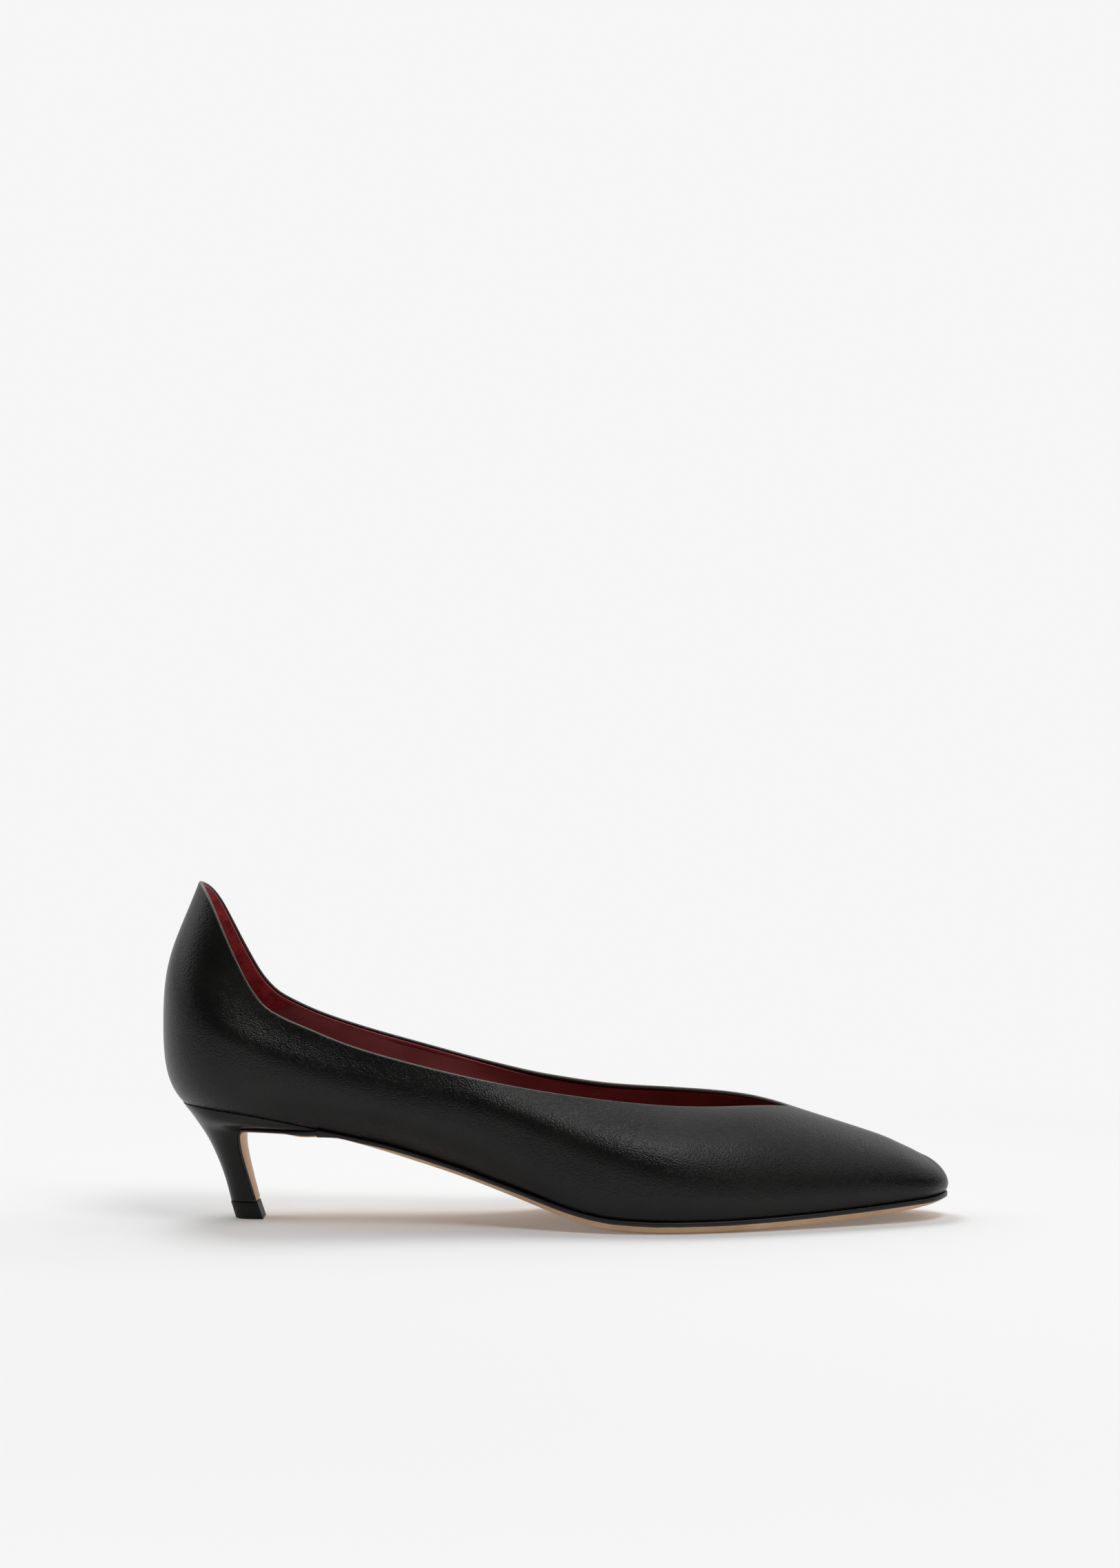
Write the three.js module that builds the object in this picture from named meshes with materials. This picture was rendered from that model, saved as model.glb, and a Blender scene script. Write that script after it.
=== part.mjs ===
import * as THREE from 'three';

// Right shoe of a pair: an almond toe pump with a deep V throat, a back that rises to a point,
// and a low curved heel whose breast is covered by the end of the outsole.
// Millimetres, +Z up, toe towards +X, big toe side (inner) towards +Y, outer side towards -Y.
// In the working frame x = 0 is the heel curve, y = 0 the line from heel to toe, z = 0 the floor.

// Length and widths
const shoeLength = 265; // heel curve to toe tip
const ballWidth = 76.5; // upper's bottom edge, across the joints
const tipInset = 4; // toe tip lies this far towards the big toe side

// Heights
const heelHeight = 39.5; // floor to the upper's bottom edge at the back
const backHeight = 74.2; // upper's bottom edge to the point of the back
const throatHeight = 37.4; // floor to the bottom of the V
const toeSpring = 4.4; // lift of the upper's bottom edge at the tip
const archLift = 1.8; // extra rise of the upper's bottom edge on the inner side of the waist

// Thicknesses and clearances
const wall = 1.6; // upper leather with its lining
const insoleThickness = 2;
const soleThickness = 3.9; // under the ball
const toeThickness = 2.1;
const waistThickness = 2.8;
const lipThickness = 1; // outsole under the front of the heel
const flapThickness = 0.9; // outsole down the heel breast
const soleEdge = 1.4; // upright band of the sole's side, above its bevel
const soleBevel = 2.3; // the bevel runs in this far under the ball
const soleLip = 0.8; // the outsole stands out from the upper's bottom edge
const gap = 0.3; // clearance between neighbours

// Heel
const seatLength = 46.5; // heel seat, from its back to the tip of its front lip
const neckWidth = 10.6;
const topPieceHeight = 5.7;
const topPieceLength = 9.7; // where it meets the floor
const topPieceWidth = 9.8;
const topPieceShift = 1.6; // its foot lies this far in front of its top
const topPieceProud = 0.15; // it stands out from the heel's covering all round

// Places along the length
const seatStart = 0.025 * shoeLength; // back of the upper's bottom edge
const edgeEnd = 0.996 * shoeLength; // and its front
const treadStart = 0.63 * shoeLength; // the sole lies flat from here
const treadEnd = 0.68 * shoeLength; // to here

// Faces
const heelSteps = 11;
const collarSteps = 26;
const vampSteps = 5;
const toeSteps = 7;
const lowRows = 5;
const highRows = 9;
const sliceSteps = 10;

// Lengths of the turns at the ends of the outlines
const heelRound = 0.125 * shoeLength;
const toeRound = 0.05 * shoeLength;
const peakRound = 0.11 * shoeLength;

// Upper's bottom edge in plan: half widths as shares of ballWidth, at shares of shoeLength.
const edgePlan = [
  { at: 0.025, outer: 0.275, inner: 0.275 },
  { at: 0.08, outer: 0.308, inner: 0.308 },
  { at: 0.14, outer: 0.318, inner: 0.314 },
  { at: 0.22, outer: 0.288, inner: 0.268 },
  { at: 0.3, outer: 0.257, inner: 0.222 },
  { at: 0.37, outer: 0.272, inner: 0.219 },
  { at: 0.44, outer: 0.347, inner: 0.275 },
  { at: 0.51, outer: 0.443, inner: 0.363 },
  { at: 0.58, outer: 0.506, inner: 0.444 },
  { at: 0.64, outer: 0.514, inner: 0.488 },
  { at: 0.7, outer: 0.486, inner: 0.49 },
  { at: 0.77, outer: 0.424, inner: 0.44 },
  { at: 0.84, outer: 0.345, inner: 0.36 },
  { at: 0.91, outer: 0.258, inner: 0.266 },
  { at: 0.96, outer: 0.186, inner: 0.189 },
  { at: 0.996, outer: 0.135, inner: 0.135 },
];

// Widest line of the upper: half widths as shares of ballWidth, height above the bottom edge
// as a share of throatHeight, the angle at which the wall leaves the bottom edge, in degrees, and
// how full the wall is between this line and its top.
const bulge = [
  { at: 0, outer: 0.345, inner: 0.345, rise: 0.72, flare: 43, full: 0.48 },
  { at: 0.08, outer: 0.385, inner: 0.385, rise: 0.66, flare: 43, full: 0.48 },
  { at: 0.15, outer: 0.394, inner: 0.388, rise: 0.54, flare: 40, full: 0.48 },
  { at: 0.23, outer: 0.385, inner: 0.371, rise: 0.47, flare: 40, full: 0.48 },
  { at: 0.3, outer: 0.377, inner: 0.354, rise: 0.465, flare: 42, full: 0.48 },
  { at: 0.36, outer: 0.38, inner: 0.35, rise: 0.505, flare: 42, full: 0.48 },
  { at: 0.42, outer: 0.407, inner: 0.367, rise: 0.545, flare: 38, full: 0.48 },
  { at: 0.475, outer: 0.452, inner: 0.402, rise: 0.53, flare: 33, full: 0.48 },
  { at: 0.53, outer: 0.5, inner: 0.446, rise: 0.475, flare: 28, full: 0.48 },
  { at: 0.585, outer: 0.535, inner: 0.486, rise: 0.385, flare: 25, full: 0.48 },
  { at: 0.64, outer: 0.543, inner: 0.516, rise: 0.3, flare: 25, full: 0.48 },
  { at: 0.69, outer: 0.52, inner: 0.52, rise: 0.235, flare: 25, full: 0.48 },
  { at: 0.75, outer: 0.471, inner: 0.483, rise: 0.195, flare: 27, full: 0.48 },
  { at: 0.82, outer: 0.391, inner: 0.405, rise: 0.18, flare: 28, full: 0.48 },
  { at: 0.88, outer: 0.322, inner: 0.331, rise: 0.16, flare: 30, full: 0.48 },
  { at: 0.94, outer: 0.237, inner: 0.24, rise: 0.125, flare: 30, full: 0.45 },
  { at: 1, outer: 0.15, inner: 0.15, rise: 0.072, flare: 30, full: 0.4 },
];

// Top edge from the point of the back to the V: half widths as shares of ballWidth, heights as
// shares of the way from the V up to the point, and the wall's lean from upright, in degrees.
const collar = [
  { at: 0.0455, outer: 0.17, inner: 0.17, outerUp: 1, innerUp: 1, outerLean: 21, innerLean: 21 },
  { at: 0.053, outer: 0.225, inner: 0.225, outerUp: 0.974, innerUp: 0.981, outerLean: 23, innerLean: 23 },
  { at: 0.066, outer: 0.252, inner: 0.252, outerUp: 0.905, innerUp: 0.92, outerLean: 25, innerLean: 25 },
  { at: 0.081, outer: 0.278, inner: 0.278, outerUp: 0.803, innerUp: 0.815, outerLean: 27, innerLean: 27 },
  { at: 0.1, outer: 0.298, inner: 0.294, outerUp: 0.67, innerUp: 0.681, outerLean: 27, innerLean: 27 },
  { at: 0.119, outer: 0.312, inner: 0.308, outerUp: 0.549, innerUp: 0.565, outerLean: 26, innerLean: 26 },
  { at: 0.138, outer: 0.322, inner: 0.318, outerUp: 0.468, innerUp: 0.494, outerLean: 25, innerLean: 25 },
  { at: 0.157, outer: 0.33, inner: 0.324, outerUp: 0.427, innerUp: 0.455, outerLean: 24, innerLean: 24 },
  { at: 0.19, outer: 0.336, inner: 0.328, outerUp: 0.377, innerUp: 0.402, outerLean: 24, innerLean: 24 },
  { at: 0.246, outer: 0.34, inner: 0.328, outerUp: 0.299, innerUp: 0.335, outerLean: 27, innerLean: 26 },
  { at: 0.322, outer: 0.339, inner: 0.326, outerUp: 0.223, innerUp: 0.26, outerLean: 32, innerLean: 31 },
  { at: 0.409, outer: 0.336, inner: 0.32, outerUp: 0.153, innerUp: 0.18, outerLean: 39, innerLean: 39 },
  { at: 0.492, outer: 0.322, inner: 0.304, outerUp: 0.099, innerUp: 0.117, outerLean: 52, innerLean: 54 },
  { at: 0.58, outer: 0.287, inner: 0.27, outerUp: 0.055, innerUp: 0.077, outerLean: 62, innerLean: 68 },
  { at: 0.652, outer: 0.24, inner: 0.226, outerUp: 0.03, innerUp: 0.065, outerLean: 69, innerLean: 78 },
  { at: 0.705, outer: 0.18, inner: 0.172, outerUp: 0.021, innerUp: 0.056, outerLean: 76, innerLean: 83 },
  { at: 0.742, outer: 0.128, inner: 0.124, outerUp: 0.019, innerUp: 0.044, outerLean: 81, innerLean: 86 },
  { at: 0.777, outer: 0.061, inner: 0.06, outerUp: 0.012, innerUp: 0.022, outerLean: 86, innerLean: 88 },
  { at: 0.7995, outer: 0, inner: 0, outerUp: 0, innerUp: 0, outerLean: 90, innerLean: 90 },
];

// Top line of the vamp, as shares of throatHeight.
const ridge = [
  { at: 0.7995, up: 1 },
  { at: 0.848, up: 0.89 },
  { at: 0.883, up: 0.81 },
  { at: 0.918, up: 0.724 },
  { at: 0.94, up: 0.653 },
  { at: 0.955, up: 0.603 },
  { at: 0.963, up: 0.569 },
];

// Rise of the upper's bottom edge over the ball, as shares of its rise at the back.
const waistRise = [
  { at: 0.025, up: 1 },
  { at: 0.063, up: 0.978 },
  { at: 0.1, up: 0.948 },
  { at: 0.15, up: 0.882 },
  { at: 0.2, up: 0.8 },
  { at: 0.29, up: 0.645 },
  { at: 0.36, up: 0.486 },
  { at: 0.46, up: 0.243 },
  { at: 0.53, up: 0.073 },
  { at: 0.57, up: 0.02 },
  { at: 0.62, up: 0 },
];

// Slices of the heel, from its foot to its seat. Each runs from a point on the back curve to a
// point on the front, at shares of seatLength and of the height between foot and seat. spread is
// how far its outline has gone from the neck's to the seat's.
const heelSlices = [
  { back: 0.346, backUp: 0, front: 0.52, frontUp: 0, spread: 0 },
  { back: 0.316, backUp: 0.169, front: 0.484, frontUp: 0.169, spread: 0.05 },
  { back: 0.283, backUp: 0.316, front: 0.456, frontUp: 0.316, spread: 0.11 },
  { back: 0.245, backUp: 0.452, front: 0.431, frontUp: 0.455, spread: 0.18 },
  { back: 0.207, backUp: 0.571, front: 0.415, frontUp: 0.575, spread: 0.26 },
  { back: 0.17, backUp: 0.669, front: 0.413, frontUp: 0.675, spread: 0.36 },
  { back: 0.133, backUp: 0.75, front: 0.43, frontUp: 0.741, spread: 0.46 },
  { back: 0.102, backUp: 0.816, front: 0.478, frontUp: 0.774, spread: 0.6 },
  { back: 0.075, backUp: 0.87, front: 0.602, frontUp: 0.78, spread: 0.77 },
  { back: 0.05, backUp: 0.916, front: 0.738, frontUp: 0.777, spread: 0.89 },
  { back: 0.026, backUp: 0.955, front: 0.873, frontUp: 0.765, spread: 0.965 },
  { back: 0, backUp: 1, front: 1, frontUp: 0.75, spread: 1 },
];

const peakAt = collar[0].at * shoeLength;
const throatAt = ridge[0].at * shoeLength;
const ridgeEnd = ridge[ridge.length - 1].at * shoeLength;

const outer = -1;
const inner = 1;

// A smooth curve through one column of a table, flat where the table turns.
function curveThrough(rows, column) {
  const last = rows.length - 1;
  const steps = rows.slice(1).map((row, i) => (row[column] - rows[i][column]) / (row.at - rows[i].at));
  const slopes = rows.map((row, i) => {
    if (i === 0) return steps[0];
    if (i === last) return steps[last - 1];
    const [before, after] = [steps[i - 1], steps[i]];
    return before * after <= 0 ? 0 : (2 * before * after) / (before + after);
  });
  return (at) => {
    let i = 0;
    while (i < last - 1 && at > rows[i + 1].at) i += 1;
    const span = rows[i + 1].at - rows[i].at;
    const t = THREE.MathUtils.clamp((at - rows[i].at) / span, 0, 1);
    const [start, end] = [rows[i][column], rows[i + 1][column]];
    const rest = 1 - t;
    return (
      start * rest * rest * (1 + 2 * t) +
      end * t * t * (3 - 2 * t) +
      span * t * rest * (slopes[i] * rest - slopes[i + 1] * t)
    );
  };
}

// 0 at an outline's end, 1 from the distance reach onwards, along a quarter of a soft round.
function roundEnd(distance, reach) {
  const left = 1 - THREE.MathUtils.clamp(distance / reach, 0, 1);
  return Math.sqrt(1 - left ** 3);
}

function pairOfCurves(rows, outerColumn, innerColumn) {
  const [outerCurve, innerCurve] = [curveThrough(rows, outerColumn), curveThrough(rows, innerColumn)];
  return (side, at) => (side === outer ? outerCurve(at) : innerCurve(at));
}

const edgeHalf = pairOfCurves(edgePlan, 'outer', 'inner');
const bulgeHalf = pairOfCurves(bulge, 'outer', 'inner');
const bulgeRise = curveThrough(bulge, 'rise');
const bulgeFlare = curveThrough(bulge, 'flare');
const bulgeFull = curveThrough(bulge, 'full');
const collarHalf = pairOfCurves(collar, 'outer', 'inner');
const collarUp = pairOfCurves(collar, 'outerUp', 'innerUp');
const collarLean = pairOfCurves(collar, 'outerLean', 'innerLean');
const ridgeUp = curveThrough(ridge, 'up');
const waistUp = curveThrough(waistRise, 'up');

const soleTop = soleThickness; // the flat tread lies on the floor
const edgeBase = soleTop + gap;

// The middle line of the forepart swings towards the big toe side.
function middle(x) {
  const swingFrom = 0.6;
  const share = Math.max(0, x / shoeLength - swingFrom) / (1 - swingFrom);
  return tipInset * share ** 1.5;
}

// Height of the upper's bottom edge.
function edgeHeight(side, x) {
  const rise = (heelHeight - edgeBase) * waistUp(x / shoeLength);
  const beyondTread = Math.max(0, x - treadEnd) / (edgeEnd - treadEnd);
  const [archStart, archEnd] = [seatStart + seatLength, treadStart];
  const alongArch = THREE.MathUtils.clamp((x - archStart) / (archEnd - archStart), 0, 1);
  const lift = side === inner ? archLift * Math.sin(Math.PI * alongArch) ** 2 : 0;
  return edgeBase + rise + lift + toeSpring * beyondTread ** 1.6;
}

// A point of the upper's bottom edge, at a share of the way from heel to toe.
function edgePoint(side, share) {
  const x = THREE.MathUtils.lerp(seatStart, edgeEnd, share);
  const rounding = roundEnd(x - seatStart, heelRound) * roundEnd(edgeEnd - x, toeRound);
  const y = middle(x) + side * ballWidth * edgeHalf(side, x / shoeLength) * rounding;
  return new THREE.Vector3(x, y, edgeHeight(side, x));
}

// A point of the upper's widest line.
function bulgePoint(side, share) {
  const x = shoeLength * share;
  const rounding = roundEnd(x, heelRound) * roundEnd(shoeLength - x, toeRound);
  const y = middle(x) + side * ballWidth * bulgeHalf(side, share) * rounding;
  return new THREE.Vector3(x, y, edgePoint(side, share).z + throatHeight * bulgeRise(share));
}

// A point of the upper's top edge, and past the V a point of the vamp's top line.
function topPoint(side, share) {
  const x = peakAt + (ridgeEnd - peakAt) * share;
  const at = x / shoeLength;
  if (x > throatAt - 1e-6) return new THREE.Vector3(x, middle(x), throatHeight * ridgeUp(at));
  const y = middle(x) + side * ballWidth * collarHalf(side, at) * roundEnd(x - peakAt, peakRound);
  const peakHeight = heelHeight + backHeight;
  return new THREE.Vector3(x, y, throatHeight + (peakHeight - throatHeight) * collarUp(side, at));
}

// Direction in which the wall arrives at its top, leaning over by the table's angle. On the vamp
// it lies in the plane that touches the top line.
function topDirection(side, share, inward) {
  const x = topPoint(side, share).x;
  const lean = THREE.MathUtils.degToRad(x >= throatAt ? 90 : collarLean(side, x / shoeLength));
  const ahead = Math.max(x, throatAt);
  const step = shoeLength / 200;
  const fall = (throatHeight * (ridgeUp((ahead - step) / shoeLength) - ridgeUp((ahead + step) / shoeLength))) / (2 * step);
  const lying = THREE.MathUtils.smoothstep(Math.sin(lean), 0.8, 1);
  const up = Math.cos(lean) - lying * inward.x * fall;
  return new THREE.Vector3(inward.x * Math.sin(lean), inward.y * Math.sin(lean), up).normalize();
}

// One upright line of the upper's outside: an arc from the bottom edge out to the widest line,
// and an arc from there over to the top.
function wallLine(side, share) {
  const [edge, wide, top] = [edgePoint(side, share), bulgePoint(side, share), topPoint(side, share)];
  const outward = new THREE.Vector3(wide.x - edge.x, wide.y - edge.y, 0).normalize();
  const inward = new THREE.Vector3(top.x - wide.x, top.y - wide.y, 0).normalize();
  const flare = THREE.MathUtils.degToRad(bulgeFlare(share));
  const start = outward.multiplyScalar(Math.sin(flare)).setZ(Math.cos(flare));
  const finish = topDirection(side, share, inward);
  const lowLength = edge.distanceTo(wide);
  const low = new THREE.CubicBezierCurve3(
    edge,
    edge.clone().addScaledVector(start, 0.3 * lowLength),
    wide.clone().setZ(wide.z - 0.5 * (wide.z - edge.z)),
    wide,
  );
  const reach = top.clone().sub(wide).dot(finish);
  const full = bulgeFull(share);
  const high = new THREE.CubicBezierCurve3(
    wide,
    wide.clone().setZ(wide.z + full * (top.z - wide.z)),
    top.clone().addScaledVector(finish, -full * reach),
    top,
  );
  return [...low.getPoints(lowRows), ...high.getPoints(highRows).slice(1)];
}

// Shares from heel to toe at which the wall has its lines, close together round both ends.
function lineShares() {
  const throatShare = (throatAt - peakAt) / (ridgeEnd - peakAt);
  const [heelShare, toeShare] = [heelRound / shoeLength, 1 - toeRound / shoeLength];
  const shares = [];
  for (let i = 0; i < heelSteps; i += 1) shares.push(heelShare * (1 - Math.cos((Math.PI / 2) * (i / heelSteps))));
  for (let i = 0; i < collarSteps; i += 1) shares.push(THREE.MathUtils.lerp(heelShare, throatShare, i / collarSteps));
  for (let i = 0; i < vampSteps; i += 1) shares.push(THREE.MathUtils.lerp(throatShare, toeShare, i / vampSteps));
  for (let i = 0; i <= toeSteps; i += 1) {
    shares.push(toeShare + (1 - toeShare) * Math.sin((Math.PI / 2) * (i / toeSteps)));
  }
  return shares;
}

const shares = lineShares();
const lastLine = shares.length - 1;
const throatLine = heelSteps + collarSteps;

// Outward direction in plan of the upper's bottom edge.
function edgeOutward(side, share) {
  const step = 1e-4;
  if (share < step) return new THREE.Vector3(-1, 0, 0);
  if (share > 1 - step) return new THREE.Vector3(1, 0, 0);
  const along = edgePoint(side, share + step / 2).sub(edgePoint(side, share - step / 2));
  return new THREE.Vector3(-side * along.y, side * along.x, 0).normalize();
}

// Gathers corners and faces. Corners at one place become one, and faces that this closes go.
function solidMaker() {
  const [points, faces, places] = [[], [], new Map()];
  const corner = (point) => {
    const place = [point.x, point.y, point.z].map((value) => Math.round(value * 1e4)).join(' ');
    if (!places.has(place)) {
      places.set(place, points.length);
      points.push(point);
    }
    return places.get(place);
  };
  const triangle = (a, b, c) => {
    if (a !== b && b !== c && c !== a) faces.push([a, b, c]);
  };
  const quad = (a, b, c, d) => {
    triangle(a, b, c);
    triangle(a, c, d);
  };
  const geometry = () => {
    const cross = new THREE.Vector3();
    const volume = faces.reduce((sum, [a, b, c]) => sum + points[a].dot(cross.crossVectors(points[b], points[c])), 0);
    const index = faces.flatMap(([a, b, c]) => (volume > 0 ? [a, b, c] : [a, c, b]));
    const made = new THREE.BufferGeometry().setFromPoints(points).setIndex(index);
    made.computeVertexNormals();
    return made;
  };
  return { points, faces, corner, triangle, quad, geometry };
}

// Skins loops that each have the same number of corners and are alike on both sides of the line
// from corner 0 to the middle one, and closes both ends with strips across that line.
function skinned(loops) {
  const maker = solidMaker();
  const rings = loops.map((loop) => loop.map(maker.corner));
  const count = loops[0].length;
  for (let i = 0; i < rings.length - 1; i += 1) {
    for (let j = 0; j < count; j += 1) {
      const next = (j + 1) % count;
      maker.quad(rings[i][j], rings[i][next], rings[i + 1][next], rings[i + 1][j]);
    }
  }
  for (const [ring, flipped] of [[rings[0], false], [rings[rings.length - 1], true]]) {
    for (let j = 0; j < count / 2; j += 1) {
      const [a, b, c, d] = [ring[j], ring[(count - j) % count], ring[count - j - 1], ring[j + 1]];
      if (flipped) maker.quad(d, c, b, a);
      else maker.quad(a, b, c, d);
    }
  }
  return maker.geometry();
}

// The upper: one wall with its real thickness, open at the collar and underneath.
function upperShell() {
  const columns = [];
  for (let k = 0; k <= lastLine; k += 1) columns.push(wallLine(outer, shares[k]));
  for (let k = lastLine - 1; k > 0; k -= 1) columns.push(wallLine(inner, shares[k]));
  const top = lowRows + highRows;

  const outside = solidMaker();
  const numbers = columns.map((line) => line.map(outside.corner));
  const around = columns.length;
  for (let c = 0; c < around; c += 1) {
    const next = (c + 1) % around;
    for (let j = 0; j < top; j += 1) {
      outside.quad(numbers[c][j], numbers[next][j], numbers[next][j + 1], numbers[c][j + 1]);
    }
  }
  const skin = new THREE.BufferGeometry().setFromPoints(outside.points).setIndex(outside.faces.flat());
  skin.computeVertexNormals();
  const normals = skin.getAttribute('normal');
  const facing = Math.sign(normals.getX(numbers[lastLine][lowRows]));

  // The inside lies one wall thickness in, and its bottom edge stays level with the outside's.
  const within = outside.points.map((point, i) => {
    const normal = new THREE.Vector3().fromBufferAttribute(normals, i);
    return point.clone().addScaledVector(normal, -facing * wall);
  });
  columns.forEach((line, c) => {
    const [side, k] = c <= lastLine ? [outer, c] : [inner, around - c];
    const inset = edgeOutward(side, shares[k]).multiplyScalar(-edgeWall);
    within[numbers[c][0]] = line[0].clone().add(inset);
  });

  const maker = solidMaker();
  const outsideCorners = outside.points.map(maker.corner);
  const insideCorners = within.map(maker.corner);
  for (const [a, b, c] of outside.faces) {
    maker.triangle(outsideCorners[a], outsideCorners[b], outsideCorners[c]);
    maker.triangle(insideCorners[a], insideCorners[c], insideCorners[b]);
  }
  for (let c = 0; c < around; c += 1) {
    const next = (c + 1) % around;
    const [edge, edgeNext] = [numbers[c][0], numbers[next][0]];
    maker.quad(outsideCorners[edgeNext], outsideCorners[edge], insideCorners[edge], insideCorners[edgeNext]);
    const [k, kNext] = [c, next].map((column) => (column <= lastLine ? column : around - column));
    if (Math.max(k, kNext) > throatLine) continue;
    const [rim, rimNext] = [numbers[c][top], numbers[next][top]];
    maker.quad(outsideCorners[rim], outsideCorners[rimNext], insideCorners[rimNext], insideCorners[rim]);
  }
  return maker.geometry();
}

const edgeWall = wall * 1.25; // the wall is cut level at its bottom edge, where it slants

// The insole lies inside the wall, with its underside level with the wall's bottom edge.
function insolePlate() {
  const inset = edgeWall + gap;
  return skinned(
    shares.map((share) => {
      const [low, high] = [outer, inner].map((side) =>
        edgePoint(side, share).addScaledVector(edgeOutward(side, share), -inset),
      );
      const raised = (point) => point.clone().setZ(point.z + insoleThickness);
      const [lowTop, highTop] = [raised(low), raised(high)];
      const [under, over] = [low.clone().lerp(high, 0.5), lowTop.clone().lerp(highTop, 0.5)];
      return [over, lowTop, low, under, high, highTop];
    }),
  );
}

const footTop = topPieceHeight + gap; // underside of the heel block
const seatTop = heelHeight - gap;

// Half width of a heel slice at a share of the way from its back to its front.
function sliceHalf(side, spread, share) {
  const seatX = seatStart + seatLength * share;
  const seatHalf = ballWidth * edgeHalf(side, seatX / shoeLength) * roundEnd(seatLength * share, heelRound);
  const neckHalf = (neckWidth / 2) * roundEnd(share, 1);
  return THREE.MathUtils.lerp(neckHalf, seatHalf, spread);
}

function sliceEnds({ back, backUp, front, frontUp }) {
  const height = (up) => THREE.MathUtils.lerp(footTop, seatTop, up);
  return [
    new THREE.Vector3(seatStart + seatLength * back, 0, height(backUp)),
    new THREE.Vector3(seatStart + seatLength * front, 0, height(frontUp)),
  ];
}

// Corners of a slice: the middle of its front, then the outer side to the back, then the inner.
function sliceLoop(pointAt) {
  const along = Array.from({ length: sliceSteps + 1 }, (_, j) => 1 - Math.cos((Math.PI / 2) * (j / sliceSteps)));
  const outerSide = along.map((share) => pointAt(outer, share));
  const innerSide = along.slice(1).map((share) => pointAt(inner, share));
  const front = outerSide[sliceSteps].clone().lerp(innerSide[sliceSteps - 1], 0.5);
  return [front, ...outerSide.reverse(), ...innerSide];
}

// The heel block. Its top follows the upper's bottom edge.
function heelBlock() {
  return skinned(
    heelSlices.map((slice) => {
      const [back, front] = sliceEnds(slice);
      return sliceLoop((side, share) => {
        const point = back.clone().lerp(front, share);
        point.y = side * sliceHalf(side, slice.spread, share);
        if (slice.spread === 1) point.z = edgeHeight(side, point.x) - gap;
        return point;
      });
    }),
  );
}

// The top piece carries the heel on the floor, and covers the end of the outsole's flap.
function topPiece() {
  const [back, front] = sliceEnds(heelSlices[0]);
  const topLength = front.x + gap + flapThickness + topPieceProud - back.x;
  const levels = [
    { z: 0, start: back.x + topPieceShift, length: topPieceLength, width: topPieceWidth },
    { z: topPieceHeight, start: back.x - topPieceProud, length: topLength, width: neckWidth + 2 * topPieceProud },
  ];
  return skinned(
    levels.map(({ z, start, length, width }) =>
      sliceLoop((side, share) => {
        const y = side * (width / 2) * roundEnd(share, 1);
        return new THREE.Vector3(start + length * share, y, z);
      }),
    ),
  );
}

// A section of the outsole, square to its path. low and high are its top corners on the outer and
// inner side, with the directions in which its bevels run in, and down is square to its top.
function soleLoop({ low, high, lowIn, highIn, down, thickness, band, bevel }) {
  const [bandShare, halfWay] = [band / thickness, 0.62];
  const edges = [
    { depth: 0, inset: 0 },
    { depth: bandShare, inset: 0 },
    { depth: bandShare + (1 - bandShare) * halfWay, inset: 0.3 },
    { depth: 1, inset: 1 },
  ];
  const side = (top, inwards) =>
    edges.map(({ depth, inset }) =>
      top.clone().addScaledVector(down, depth * thickness).addScaledVector(inwards, inset * bevel),
    );
  const [lowSide, highSide] = [side(low, lowIn), side(high, highIn)];
  const over = low.clone().lerp(high, 0.5);
  const under = lowSide[3].clone().lerp(highSide[3], 0.5);
  return [over, ...lowSide, under, ...highSide.reverse()];
}

// The outsole: tread and waist under the upper, then under the heel's front lip and down the
// breast as a flap, which ends at the top piece.
function outsole() {
  const lipTip = seatStart + seatLength;
  const loops = [];
  for (let k = lastLine; k > 0; k -= 1) {
    const share = shares[k];
    if (edgePoint(outer, share).x < lipTip + 2) break;
    const [low, high] = [outer, inner].map((side) => {
      const point = edgePoint(side, share).addScaledVector(edgeOutward(side, share), soleLip);
      return point.setZ(point.z - gap);
    });
    const waist = Math.min(1, 2 * waistUp(low.x / shoeLength));
    const towardsToe = Math.max(0, low.x - treadEnd) / (edgeEnd - treadEnd);
    const nearLip = THREE.MathUtils.smoothstep(low.x, lipTip, lipTip + 0.13 * shoeLength);
    const ball = THREE.MathUtils.lerp(soleThickness, toeThickness, towardsToe ** 5);
    const rear = THREE.MathUtils.lerp(lipThickness, waistThickness, nearLip);
    const thickness = THREE.MathUtils.lerp(ball, rear, waist);
    loops.push(
      soleLoop({
        low,
        high,
        lowIn: edgeOutward(outer, share).negate(),
        highIn: edgeOutward(inner, share).negate(),
        down: new THREE.Vector3(0, 0, -1),
        thickness,
        band: Math.min(soleEdge, 0.8 * thickness),
        bevel: soleBevel * nearLip,
      }),
    );
  }

  const ends = heelSlices.map((slice) => sliceEnds(slice)[1]);
  for (let i = heelSlices.length - 1; i >= 0; i -= 1) {
    const along = ends[Math.max(0, i - 1)].clone().sub(ends[Math.min(ends.length - 1, i + 1)]).normalize();
    const down = new THREE.Vector3(-along.z, 0, along.x);
    const [low, high] = [outer, inner].map((side) => {
      const point = ends[i].clone().addScaledVector(down, gap);
      point.y = side * sliceHalf(side, heelSlices[i].spread, 1);
      return point;
    });
    const thickness = THREE.MathUtils.lerp(flapThickness, lipThickness, heelSlices[i].spread);
    loops.push(
      soleLoop({
        low,
        high,
        lowIn: new THREE.Vector3(0, 1, 0),
        highIn: new THREE.Vector3(0, -1, 0),
        down,
        thickness,
        band: 0.8 * thickness,
        bevel: 0.25 * thickness,
      }),
    );
  }
  return skinned(loops);
}

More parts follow.
